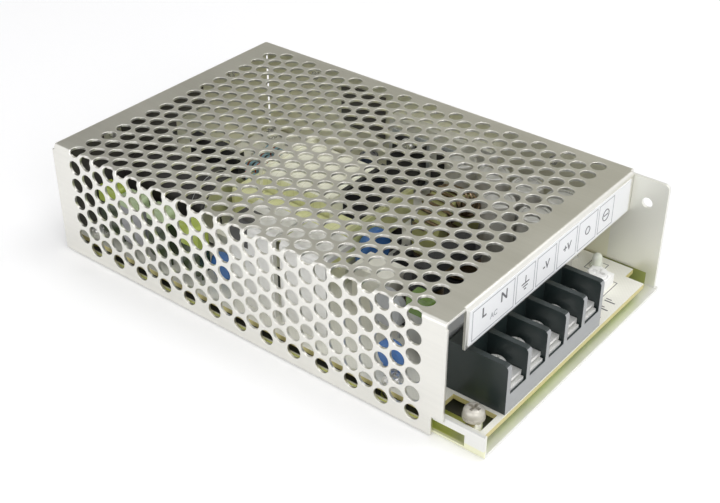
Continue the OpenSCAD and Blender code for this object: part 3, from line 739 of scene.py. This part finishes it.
# The block's front faces are painted lighter grey as a painted reflection.
BLACK_BLOCK = Moulded("black_moulding", (0.012, 0.020, 0.020), rough=0.34, edge=0.0003,
                      front_reflection=(0.33, 0.34, 0.345),
                      front_place=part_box("terminal_block")[1][0] - 0.6 * MM)
BLACK_PLASTIC = Moulded("black_plastic", (0.02, 0.02, 0.022))
EPOXY = Moulded("black_epoxy", (0.018, 0.018, 0.019), rough=0.5, skin=0.00002, edge=0.0001)
GREY_PLASTIC = Moulded("grey_box", (0.40, 0.41, 0.42), rough=0.38, edge=0.0003)
IVORY = Moulded("ivory", (0.86, 0.83, 0.72), rough=0.35, edge=0.0003)
FERRITE = Moulded("ferrite", (0.018, 0.018, 0.019), rough=0.6, skin=0.00003,
                  skin_scale=1500.0, speck=0.3)
YELLOW_CORE = Moulded("coated_core", (0.36, 0.36, 0.14), rough=0.45, edge=0.0006)
DARK_FILM = Moulded("dark_film", (0.075, 0.072, 0.062), rough=0.3, skin=0.000005)
PAD = Moulded("pad", (0.42, 0.45, 0.47), rough=0.7)
GREEN = Lacquer("green_lacquer", (0.035, 0.06, 0.02), (
    Patch((0.42, 0.52, 0.08), mm(0.0, 9.0, FILM_START), z=mm(19.5)),
    Patch((0.42, 0.42, 0.45), mm(9.0, 19.0, FILM_START), z=mm(0.0, 21.0)),
    Patch((0.50, 0.62, 0.36), mm(9.0, 31.0, FILM_START), z=mm(21.0)),
    Patch((0.46, 0.56, 0.10), mm(31.0, 45.0, FILM_START), z=mm(18.0)),
    Patch((0.46, 0.46, 0.42), mm(0.0), z=mm(0.0, 19.0)),
    Patch((0.14, 0.24, 0.05), mm(0.0), z=mm(19.0))))
BLUE = Lacquer("blue_lacquer", (0.06, 0.2, 0.55))
SLEEVE_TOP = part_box("output_capacitors")[1][2] - 0.5 * MM
SMALL_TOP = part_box("small_capacitors")[1][2] - 0.5 * MM
OUTPUT_CANS = CanSleeve("output_sleeve", (0.44, 0.43, 0.39), (0.12, 0.12, 0.12), SLEEVE_TOP)
SMALL_CANS = CanSleeve("small_sleeve", (0.02, 0.03, 0.06), (0.55, 0.55, 0.55), SMALL_TOP)
BULK_CAN = CanSleeve("bulk_sleeve", (0.016, 0.014, 0.013), (0.45, 0.42, 0.36), 0.0,
                     lying=True)
BOARD = Laminate("board_laminate", (0.93, 0.92, 0.83), (0.44, 0.54, 0.015))
# Each tape's top and side colours differ as painted light between its top and its sides.
TAPE = WoundTape("cream_tape", (1.0, 1.0, 0.86), (0.88, 0.90, 0.52))
CORE_TAPE = WoundTape("core_tape", (0.80, 0.82, 0.36), (0.80, 0.82, 0.38), 0.0109)
CORE_WRAP = WoundTape("core_wrap", (0.88, 0.90, 0.52), (0.97, 0.98, 0.58), patches=(
    Patch(DARK_END, (WINDING_END, CORE_HIGH[0] - 0.1 * MM),
          (CORE_LOW[1] + 9.0 * MM, CORE_HIGH[1] - 0.1 * MM), (CORE_HIGH[2] - 0.2 * MM, FAR)),))
PALE_PLASTIC = Moulded("pale_plastic", (0.84, 0.83, 0.66), rough=0.4,
                       patches=(Patch(DARK_END, (WINDING_END, FAR), mm(-9.0)),))
COPPER = Enamelled("enamelled_copper", (0.20, 0.14, 0.07))
FILM = PrintedFilm("printed_film", (0.88, 0.89, 0.9))
INK = PrintedFilm("grey_ink", (0.12, 0.12, 0.13))
FAINT_INK = PrintedFilm("faint_ink", (0.42, 0.43, 0.45))
GLASS = ClearGlass("clear_glass")
GREEN_LENS = Lens("green_lens", (0.90, 0.96, 0.78))
WHITE = Moulded("white_moulding", (0.98, 0.98, 0.95), rough=0.35, edge=0.0003)


# ---- mesh making


def circle(count: int) -> list[tuple[float, float]]:
    """Return the points of a unit circle, counted from the first axis."""
    angles = [math.tau * k / count for k in range(count)]
    return [(math.cos(a), math.sin(a)) for a in angles]


class Shape:
    """A mesh under construction, in metres, in the object's frame."""

    START_GUIDE = Vector((0.31, 0.17, 0.93))
    ON_AXIS = 1e-7

    def __init__(self) -> None:
        """Start empty."""
        self.bm = bmesh.new()

    def slab(self, low: Sequence[float], high: Sequence[float]) -> None:
        """Add a box between its lowest and its highest corner."""
        size = Vector(high) - Vector(low)
        middle = (Vector(high) + Vector(low)) / 2
        matrix = Matrix.Translation(middle) @ Matrix.Diagonal((*size, 1.0))
        bmesh.ops.create_cube(self.bm, size=1.0, matrix=matrix)

    def border(self, low: Point, high: Point, width: float, axes: tuple[Axis, Axis]) -> None:
        """Add four bars round the inside of a box's outline.

        Args:
            low: The box's lowest corner.
            high: The box's highest corner.
            width: The bars' width.
            axes: The outline's two axes; bars across the first run the full length.
        """
        first, second = axes[0].value, axes[1].value
        for across, along, inset in ((first, second, 0.0), (second, first, width)):
            for at_high in (False, True):
                start, end = list(low), list(high)
                start[along] += inset
                end[along] -= inset
                if at_high:
                    start[across] = high[across] - width
                else:
                    end[across] = low[across] + width
                self.slab(start, end)

    def tube(self, path: Sequence[Vector], radius: float, sides: int = 8,
             closed: bool = False) -> None:
        """Sweep a round section along points.

        Args:
            path: The centreline's points.
            radius: The section's radius.
            sides: The section's corners.
            closed: Whether the end joins the start.
        """
        rings: list[list[Any]] = []
        guide = self.START_GUIDE
        count = len(path)
        for index, point in enumerate(path):
            ahead = path[(index + 1) % count] if closed or index + 1 < count else point
            behind = path[index - 1] if closed or index > 0 else point
            along = (ahead - behind).normalized()
            guide = (guide - along * guide.dot(along)).normalized()
            other = along.cross(guide)
            rings.append([self.bm.verts.new(point + radius * (x * guide + y * other))
                          for x, y in circle(sides)])
        pairs = list(zip(rings, rings[1:])) + ([(rings[-1], rings[0])] if closed else [])
        for first, second in pairs:
            for k in range(sides):
                n = (k + 1) % sides
                self.bm.faces.new((first[k], first[n], second[n], second[k]))
        if not closed:
            self.bm.faces.new(tuple(reversed(rings[0])))
            self.bm.faces.new(tuple(rings[-1]))

    def lathe(self, profile: Sequence[tuple[float, float]], foot: Point, sides: int = 32) -> None:
        """Turn an outline about an upright axis.

        Args:
            profile: Radius and height pairs, from the axis round to the axis.
            foot: The point on the axis where height is 0.
            sides: The corners round the axis.
        """
        base = Vector(foot)
        rings: list[list[Any]] = []
        for radius, height in profile:
            if radius < self.ON_AXIS:
                rings.append([self.bm.verts.new(base + Vector((0, 0, height)))])
                continue
            rings.append([self.bm.verts.new(base + Vector((radius * x, radius * y, height)))
                          for x, y in circle(sides)])
        for first, second in zip(rings, rings[1:]):
            for k in range(sides):
                n = (k + 1) % sides
                corners = [first[k % len(first)], first[n % len(first)],
                           second[n % len(second)], second[k % len(second)]]
                unique = list(dict.fromkeys(corners))
                if len(unique) > 2:
                    self.bm.faces.new(unique)

    def finish(self, name: str, material: bpy.types.Material, slot: str) -> bpy.types.Object:
        """Turn the mesh into a piece that rides on the case.

        Args:
            name: The piece's name.
            material: Its material.
            slot: Not used.

        Returns:
            The piece.
        """
        bmesh.ops.recalc_face_normals(self.bm, faces=self.bm.faces)
        for face in self.bm.faces:
            face.smooth = True
        for edge in self.bm.edges:
            if len(edge.link_faces) == 2 and edge.calc_face_angle(0.0) > SMOOTH_ANGLE:
                edge.smooth = False
        mesh = bpy.data.meshes.new(name)
        self.bm.to_mesh(mesh)
        self.bm.free()
        piece = bpy.data.objects.new(name, mesh)
        bpy.context.scene.collection.objects.link(piece)
        piece.data.materials.append(material)
        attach(piece, CASE_BODY)
        LOG.info("made %s with %d faces", name, len(mesh.polygons))
        return piece


def middle_of(node: str) -> Vector:
    """Return the centre of a CAD node's box."""
    low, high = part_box(node)
    return (Vector(low) + Vector(high)) / 2


# ---- sub-assemblies


@dataclass
class Assembly:
    """CAD nodes and new pieces that belong together."""

    dresser: Dresser

    def dress(self, finishes: dict[str, Finish]) -> None:
        """Give CAD nodes their finishes.

        Args:
            finishes: Each node's finish, by the node's name.
        """
        for node, finish in finishes.items():
            self.dresser.dress(node, finish)

    def add(self, shape: Shape, name: str, finish: Finish, slot: str) -> bpy.types.Object:
        """Turn a mesh into a piece of this group.

        Args:
            shape: The mesh.
            name: The piece's name.
            finish: Its finish.
            slot: Passed on to the mesh, which does not use it.

        Returns:
            The piece.
        """
        return shape.finish(name, self.dresser.material(finish), slot)


@dataclass
class FoldedCase(Assembly):
    """The folded chassis and cover, with their screws, label, film, painted shade and fixings."""

    tongue_gap: float = 0.05 * MM
    tongue_past_post: Span = mm(0.2, 8.0)
    sheet: float = 0.2 * MM
    off_rear: float = 1.4 * MM
    off_far: float = 1.6 * MM
    off_board: float = 0.3 * MM
    film_top: float = 35.5 * MM
    notch: Span = mm(-30.2, -22.8)
    notch_top: float = 30.0 * MM
    step: Span = mm(0.5, 14.0)
    step_foot: float = 26.5 * MM
    far_run: Span = mm(-43.0, -24.0)
    far_rise: Span = mm(18.0, 33.5)

    def shade_tongue(self) -> None:
        """Lay a dark sheet below the board's window, past the earth post, as painted shade."""
        start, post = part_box("insulating_film"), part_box("earth_post")
        shape = Shape()
        near, far = (post[1][1] + past for past in self.tongue_past_post)
        shape.slab((start[1][0] + self.tongue_gap, near, start[0][2]),
                   (post[1][0], far, start[1][2]))
        self.add(shape, "shade_tongue", DARK_FILM, "dark_film")

    def upstands(self) -> None:
        """Stand film up inside the rear wall, notched round its screw, and the far wall."""
        x, foot = CHASSIS_LOW[0] + self.off_rear, BOARD_HIGH[2] + self.off_board
        rear, far = Shape(), Shape()
        for start, end, low, high in (
                (CHASSIS_LOW[1] + self.off_far, self.notch[0], foot, self.film_top),
                (*self.notch, foot, self.notch_top),
                (self.notch[1], self.step[0], foot, self.film_top),
                (*self.step, self.step_foot, self.film_top)):
            rear.slab((x, start, low), (x + self.sheet, end, high))
        self.add(rear, "rear_film", DARK_FILM, "dark_film")
        y = CHASSIS_HIGH[1] - self.off_far
        far.slab((self.far_run[0], y, self.far_rise[0]),
                 (self.far_run[1], y + self.sheet, self.far_rise[1]))
        self.add(far, "far_film", DARK_FILM, "dark_film")

    def build(self) -> None:
        """Finish the case's CAD nodes, add the painted shade below the board's window and stand
        the film up.
        """
        self.dress({"chassis": ZINC, "cover": SATIN, "cover_screws": BRIGHT,
                    "label_strip": FILM, "insulating_film": DARK_FILM,
                    "board_standoffs": NICKEL, "board_screws": BRIGHT,
                    "earth_post": NICKEL, "earth_screw": DULL_SCREW})
        self.shade_tongue()
        self.upstands()


class Mark(Enum):
    """A plain sign printed on the label strip."""

    LIVE = "L"
    NEUTRAL = "N"
    MAINS = "AC"
    MINUS = "-V"
    PLUS = "+V"
    EARTH = "earth"
    LAMP = "lamp"
    ADJUST = "adjust"


@dataclass(frozen=True)
class Print:
    """One sign: its distance from the strip's near end, its height and its size."""

    mark: Mark
    along: float
    above: float = 0.0
    size: float = 4.3


@dataclass
class FrontLabel(Assembly):
    """Plain generic printing on the white strip over the terminals."""

    line: float = 0.3 * MM
    ink: float = 0.03 * MM
    inset: float = 0.7 * MM
    gap: float = 0.45 * MM
    bar: float = 0.2 * MM
    cuts: tuple[float, ...] = (0.7, 21.2, 31.2, 42.0, 53.2, 64.4, 74.0)
    prints: tuple[Print, ...] = (
        Print(Mark.LIVE, 6.5, 1.6), Print(Mark.NEUTRAL, 15.8, 1.6),
        Print(Mark.MAINS, 11.2, -1.6, 2.4),
        Print(Mark.EARTH, 26.2), Print(Mark.MINUS, 36.6, 0.0, 3.6),
        Print(Mark.PLUS, 47.6, 0.0, 3.6), Print(Mark.LAMP, 58.8), Print(Mark.ADJUST, 69.2))

    def __post_init__(self) -> None:
        """Take the strip's face from the frame."""
        low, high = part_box("label_strip")
        self.face = high[0]
        self.low = (low[1], low[2])
        self.high = (high[1], high[2])
        self.middle = (low[2] + high[2]) / 2

    def letters(self, mark: Print) -> None:
        """Print a word on the strip as a piece of its own.

        Args:
            mark: The word, its place and its size.
        """
        name = "label_" + mark.mark.name.lower()
        curve = bpy.data.curves.new(name, "FONT")
        curve.body = mark.mark.value
        curve.size = mark.size * MM
        curve.extrude = self.ink / 2
        curve.offset = 0.02 * mark.size * MM
        curve.align_x = "CENTER"
        curve.align_y = "CENTER"
        source = bpy.data.objects.new(name + "_source", curve)
        bpy.context.scene.collection.objects.link(source)
        bpy.context.view_layer.update()
        mesh = bpy.data.meshes.new_from_object(source)
        bpy.data.objects.remove(source)
        y, z = self.low[0] + mark.along * MM, self.middle + mark.above * MM
        turn = Matrix(((0, 0, 1, self.face + self.ink / 2), (1, 0, 0, y), (0, 1, 0, z),
                       (0, 0, 0, 1)))
        shape = Shape()
        shape.bm.from_mesh(mesh)
        bmesh.ops.transform(shape.bm, matrix=turn, verts=shape.bm.verts)
        faint = mark.mark is Mark.MAINS
        self.add(shape, name, FAINT_INK if faint else INK, "dark_film")

    def earth_sign(self, shape: Shape, y: float, z: float) -> None:
        """Print the sign for earth.

        Args:
            shape: The mesh to add to.
            y: Its middle along Y.
            z: Its middle along Z.
        """
        x0, x1, bar = self.face, self.face + self.ink, self.bar
        shape.slab((x0, y - bar, z + bar), (x1, y + bar, z + 2.4 * MM))
        for step, half in enumerate((1.9, 1.2, 0.5)):
            level = z - step * 0.95 * MM
            shape.slab((x0, y - half * MM, level - bar), (x1, y + half * MM, level + bar))

    def ring(self, shape: Shape, y: float, z: float, radius: float) -> None:
        """Print a ring.

        Args:
            shape: The mesh to add to.
            y: Its middle along Y.
            z: Its middle along Z.
            radius: Its radius.
        """
        edge = [Vector((self.face + self.ink / 2, y + radius * a, z + radius * b))
                for a, b in circle(24)]
        shape.tube(edge, 0.14 * MM, 6, closed=True)

    def build(self) -> None:
        """Print the cells, letters and signs."""
        borders = Shape()
        for left, right in zip(self.cuts, self.cuts[1:]):
            start, end = (self.low[0] + cut * MM for cut in (left, right))
            borders.border((self.face, start + self.gap, self.low[1] + self.inset),
                           (self.face + self.ink, end - self.gap, self.high[1] - self.inset),
                           self.line, (Axis.Y, Axis.Z))
        self.add(borders, "label_borders", FAINT_INK, "grey_plastic")
        signs = Shape()
        for mark in self.prints:
            y, z = self.low[0] + mark.along * MM, self.middle + mark.above * MM
            match mark.mark:
                case Mark.EARTH:
                    self.earth_sign(signs, y, z)
                case Mark.LAMP:
                    self.ring(signs, y, z, 1.2 * MM)
                case Mark.ADJUST:
                    self.ring(signs, y, z, 1.8 * MM)
                    signs.slab((self.face, y - 1.2 * MM, z - self.bar),
                               (self.face + self.ink, y + 1.2 * MM, z + self.bar))
                case _:
                    self.letters(mark)
        self.add(signs, "label_signs", INK, "dark_film")


class Terminals(Assembly):
    """The barrier block with its plates, clamps and screws."""

    def build(self) -> None:
        """Finish the block's CAD nodes."""
        self.dress({"terminal_block": BLACK_BLOCK, "terminal_plates": TERMINAL_PLATE,
                    "terminal_clamps": TERMINAL_PLATE, "terminal_screws": TERMINAL_PLATE})


@dataclass
class BoardArt(Assembly):
    """The board's own finish, its printed outlines and the solder under it."""

    ink: float = 0.02 * MM
    line: float = 0.22 * MM
    frames: tuple[tuple[str, float], ...] = (
        ("trimmer_body", 1.0 * MM), ("indicator_lamp", 0.9 * MM))
    marks: int = 3
    mark_start: float = 5.2 * MM
    mark_ends: Span = (1.8 * MM, 3.4 * MM)
    dots: int = 150
    earth_corner: Span = (19 * MM, 12 * MM)
    seed: int = 7

    def build(self) -> None:
        """Finish the board and add its printing and solder."""
        self.dress({"board": BOARD})
        low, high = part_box("board")
        level = high[2]
        shape = Shape()
        for node, grow in self.frames:
            a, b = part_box(node)
            c = middle_of(node)
            half = ((b[0] - a[0]) / 2 + grow, (b[1] - a[1]) / 2 + grow)
            shape.border((c.x - half[0], c.y - half[1], level),
                         (c.x + half[0], c.y + half[1], level + self.ink),
                         self.line, (Axis.X, Axis.Y))
        start = high[0] - self.mark_start
        long_end, short_end = (high[0] - end for end in self.mark_ends)
        for k in range(self.marks):
            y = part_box("terminal_block")[1][1] + (3.2 + 4.2 * k) * MM
            shape.slab((start, y, level), (long_end, y + 0.5 * MM, level + self.ink))
            shape.slab((start, y + 1.1 * MM, level), (short_end, y + 1.5 * MM, level + self.ink))
        self.add(shape, "board_printing", INK, "dark_film")
        self.solder(low, high)

    def solder(self, low: Sequence[float], high: Sequence[float]) -> None:
        """Add small solder cones under the board.

        Args:
            low: The board's lowest corner.
            high: The board's highest corner.
        """
        draw = random.Random(self.seed)
        shape = Shape()
        for _ in range(self.dots):
            x = draw.uniform(low[0] + 5 * MM, high[0] - 4 * MM)
            y = draw.uniform(low[1] + 4 * MM, high[1] - 6 * MM)
            if x > high[0] - self.earth_corner[0] and y < low[1] + self.earth_corner[1]:
                continue
            tall = draw.uniform(0.6, 1.1) * MM
            wide = draw.uniform(0.8, 1.2) * MM
            shape.lathe([(0, 0), (wide, 0), (wide * 0.45, -tall * 0.5), (0.25 * MM, -tall),
                         (0, -tall * 1.1)], (x, y, low[2]), sides=10)
        self.add(shape, "solder_points", NICKEL, "nickel")


@dataclass
class Windings(Assembly):
    """Real turns of wire on the output choke and on the line choke."""

    wire: float = 0.62 * MM
    corners: int = 18
    ring_turns: int = 11
    ring_bore: float = 6.5 * MM
    ring_starts: tuple[float, float] = (22.0, 202.0)
    ring_sweep: float = 136.0
    leg_turns: int = 9
    leg_steps: int = 24
    leg_wire: float = 0.35 * MM
    leg_end: float = 0.4 * MM

    def toroid_turns(self) -> None:
        """Wind the output choke: two halves of turns round the ring's section."""
        low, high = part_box("output_choke_core")
        centre = middle_of("output_choke_core")
        outer = (high[1] - low[1]) / 2
        inner = self.ring_bore
        half_t = (high[0] - low[0]) / 2
        shape = Shape()
        steps = self.ring_turns * self.corners
        for start in self.ring_starts:
            path: list[Vector] = []
            for k in range(steps + 1):
                around = math.tau * (k % self.corners) / self.corners
                ring = math.radians(start + self.ring_sweep * k / steps)
                cut = (abs(math.cos(around)) ** 4 + abs(math.sin(around)) ** 4) ** 0.25
                reach = (outer - inner) / 2 + self.wire
                radius = (outer + inner) / 2 + reach * math.cos(around) / cut
                side = (half_t + self.wire) * math.sin(around) / cut
                path.append(centre + Vector((side, radius * math.cos(ring),
                                             radius * math.sin(ring))))
            shape.tube(path, self.wire, 8)
        piece = self.add(shape, "output_choke_turns", COPPER, "enamelled_copper")
        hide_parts("output_choke_winding")

    def line_turns(self) -> None:
        """Wind the two legs of the line choke in level layers."""
        low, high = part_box("line_choke_windings")
        half = (high[0] - low[0]) / 2
        radius = half - self.leg_wire
        rise = high[2] - low[2] - 2 * self.leg_end
        steps = self.leg_turns * self.leg_steps
        shape = Shape()
        for y in (low[1] + half, high[1] - half):
            centre = Vector(((low[0] + high[0]) / 2, y, low[2] + self.leg_end))
            path = []
            for k in range(steps + 1):
                angle = math.tau * self.leg_turns * k / steps
                path.append(centre + Vector((radius * math.cos(angle), radius * math.sin(angle),
                                             rise * k / steps)))
            shape.tube(path, self.leg_wire, 6)
        piece = self.add(shape, "line_choke_turns", COPPER, "enamelled_copper")
        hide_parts("line_choke_windings")

    def build(self) -> None:
        """Wind both chokes and finish their cores and bobbin."""
        self.toroid_turns()
        self.line_turns()
        self.dress({"output_choke_core": YELLOW_CORE, "line_choke_core": FERRITE,
                    "line_choke_bobbin": BLACK_PLASTIC})


@dataclass
class Transformer(Assembly):
    """The taped transformer, the tape round its core and its pins."""

    tape: float = 0.12 * MM
    slack: float = 0.02 * MM
    band: float = 9.0 * MM
    pins_a_side: int = 6
    pin_pitch: float = 4.6 * MM
    pin_start: float = 2.5 * MM
    pin_top: float = 8.6 * MM

    def core_tape(self) -> None:
        """Wrap a band of tape round the outside of the core."""
        low, high = (Vector(v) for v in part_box("transformer_core"))
        middle, out = (low.z + high.z) / 2, self.slack + self.tape
        shape = Shape()
        shape.border((low.x - out, low.y - out, middle - self.band / 2),
                     (high.x + out, high.y + out, middle + self.band / 2),
                     self.tape, (Axis.X, Axis.Y))
        self.add(shape, "core_tape", CORE_TAPE, "cream_tape")

    def pins(self) -> None:
        """Stand tinned pins along both pin rails."""
        low, high = (Vector(v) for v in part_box("transformer_bobbin"))
        top = low.z + self.pin_top
        shape = Shape()
        for x in (low.x + 1.2 * MM, high.x - 1.2 * MM):
            for k in range(self.pins_a_side):
                y = low.y + self.pin_start + self.pin_pitch * k
                shape.tube([Vector((x, y, top - 2.0 * MM)), Vector((x, y, top))], 0.4 * MM, 8)
        self.add(shape, "transformer_pins", NICKEL, "nickel")

    def build(self) -> None:
        """Finish the CAD nodes and add the small pieces."""
        self.dress({"transformer_core": CORE_WRAP, "transformer_bobbin": PALE_PLASTIC,
                    "transformer_winding": TAPE})
        self.core_tape()
        self.pins()


class BoardParts(Assembly):
    """Everything else that stands on the board."""

    def build(self) -> None:
        """Finish the remaining CAD nodes."""
        resistor = Banded("banded_resistor", (0.30, 0.50, 0.58), middle_of("power_resistors").x)
        self.dress({
            "fuse_tube": GLASS, "fuse_caps": NICKEL, "fuse_clips": NICKEL,
            "inrush_thermistor": GREY_PLASTIC, "varistor": BLUE, "x_capacitors": GREY_PLASTIC,
            "y_capacitors": BLUE, "bridge_rectifier": EPOXY, "bulk_capacitor": BULK_CAN,
            "film_capacitors": GREEN, "snubber_capacitors": IVORY, "primary_heatsink": ALUMINIUM,
            "primary_switch": EPOXY, "primary_switch_screw": BRIGHT, "power_resistors": resistor,
            "optocoupler": EPOXY, "controller_chip": EPOXY, "small_capacitors": SMALL_CANS,
            "heat_bar": ALUMINIUM, "output_rectifiers": EPOXY, "rectifier_pads": PAD,
            "rectifier_screws": BRIGHT, "output_capacitors": OUTPUT_CANS,
            "trimmer_body": WHITE, "trimmer_rotor": WHITE, "indicator_lamp": GREEN_LENS})


@dataclass
class Studio:
    """Pale floor, soft light, grey cards for the metal to mirror, and the camera."""

    eye: Point = (0.1989, -0.2479, 0.2182)
    heading: float = -38.5
    dip: float = 33.7
    lens: float = 61.65
    floor_half: float = 3.0
    card_way: Point = (-0.52, 0.65, 0.56)
    card_reach: float = 1.1
    card_size: Span = (1.5, 0.9)
    card_tones: tuple[Colour, Colour] = ((0.25, 0.245, 0.22), (0.405, 0.395, 0.315))

    def camera(self) -> None:
        """Place the camera and make it the scene's own."""
        turn, drop = math.radians(self.heading), math.radians(self.dip)
        ahead = Vector((math.sin(turn) * math.cos(drop), math.cos(turn) * math.cos(drop),
                        -math.sin(drop)))
        data = bpy.data.cameras.new("main_camera")
        data.lens = self.lens
        data.sensor_width = 36.0
        data.clip_start = 0.01
        holder = bpy.data.objects.new("main_camera", data)
        bpy.context.scene.collection.objects.link(holder)
        holder.location = self.eye
        holder.rotation_euler = ahead.to_track_quat("-Z", "Y").to_euler()
        bpy.context.scene.camera = holder

    def floor(self) -> None:
        """Lay a matt floor that glows a little where it is seen or mirrored."""
        bpy.ops.mesh.primitive_plane_add(size=2 * self.floor_half, location=(0, 0, -0.00002))
        plane = bpy.context.object
        plane.name = "studio_floor"
        graph = Surface("studio_floor")
        glow = graph.mix(graph.seen_by("Is Camera Ray", "Is Glossy Ray"), (0.0, 0.0, 0.0),
                         (0.16, 0.16, 0.16))
        plane.data.materials.append(graph.shade(
            Base_Color=(0.9, 0.9, 0.9), Roughness=0.9, Emission_Strength=1.0, Emission_Color=glow))

    def card(self) -> None:
        """Stand a card that only reflections see, toned from its left end to its right."""
        place = Vector(self.card_way) * self.card_reach
        bpy.ops.mesh.primitive_plane_add(size=1.0, location=place)
        plane = bpy.context.object
        plane.name = "far_card"
        plane.scale = (*self.card_size, 1.0)
        plane.rotation_euler = (-place).to_track_quat("Z", "Y").to_euler()
        graph = Surface("far_card")
        blend = graph.mix((graph.run(Axis.X) * 1.6 + 0.5).held(), *self.card_tones)
        plane.data.materials.append(graph.shade(
            Base_Color=(0.0, 0.0, 0.0), Specular_IOR_Level=0.0, Emission_Color=blend,
            Emission_Strength=1.0))
        for ray in ("camera", "diffuse", "shadow", "transmission"):
            setattr(plane, f"visible_{ray}", False)

    @staticmethod
    def lamp(name: str, place: Point, size: float, power: float) -> None:
        """Hang a soft square lamp that points at the object.

        Args:
            name: The lamp's name.
            place: Where it hangs.
            size: Its side.
            power: Its power in watts.
        """
        data = bpy.data.lights.new(name, "AREA")
        data.size = size
        data.energy = power
        holder = bpy.data.objects.new(name, data)
        bpy.context.scene.collection.objects.link(holder)
        holder.location = place
        holder.rotation_euler = (-Vector(place)).to_track_quat("-Z", "Y").to_euler()

    @staticmethod
    def world() -> None:
        """Light from all round, white where it is seen."""
        bpy.context.scene.world = bpy.data.worlds.new("studio")
        graph = Graph(bpy.context.scene.world)
        seen = graph.seen_by("Is Camera Ray", "Is Glossy Ray", "Is Transmission Ray")
        blend = graph.mix(seen, (0.55, 0.55, 0.56), (1.0, 1.0, 1.0))
        sky = graph.node("ShaderNodeBackground", None, {0: blend})
        graph.node("ShaderNodeOutputWorld", None, {0: sky.outputs[0]})

    def build(self) -> None:
        """Set the whole studio up."""
        self.camera()
        self.floor()
        self.world()
        self.lamp("key_lamp", (0.3, 0.25, 0.9), 0.6, 3.4)
        self.lamp("front_lamp", (0.8, -0.4, 0.5), 0.5, 2.6)
        self.lamp("near_lamp", (-0.1, -0.9, 0.4), 0.5, 1.5)
        self.card()
        bpy.context.scene.view_settings.view_transform = "Standard"


def main() -> None:
    """Build the studio and every sub-assembly."""
    logging.basicConfig(level=logging.INFO, format="%(name)s: %(message)s")
    Studio().build()
    dresser = Dresser()
    for group in (FoldedCase, FrontLabel, Terminals, BoardArt, Windings, Transformer, BoardParts):
        group(dresser).build()


if __name__ == "__main__":
    main()
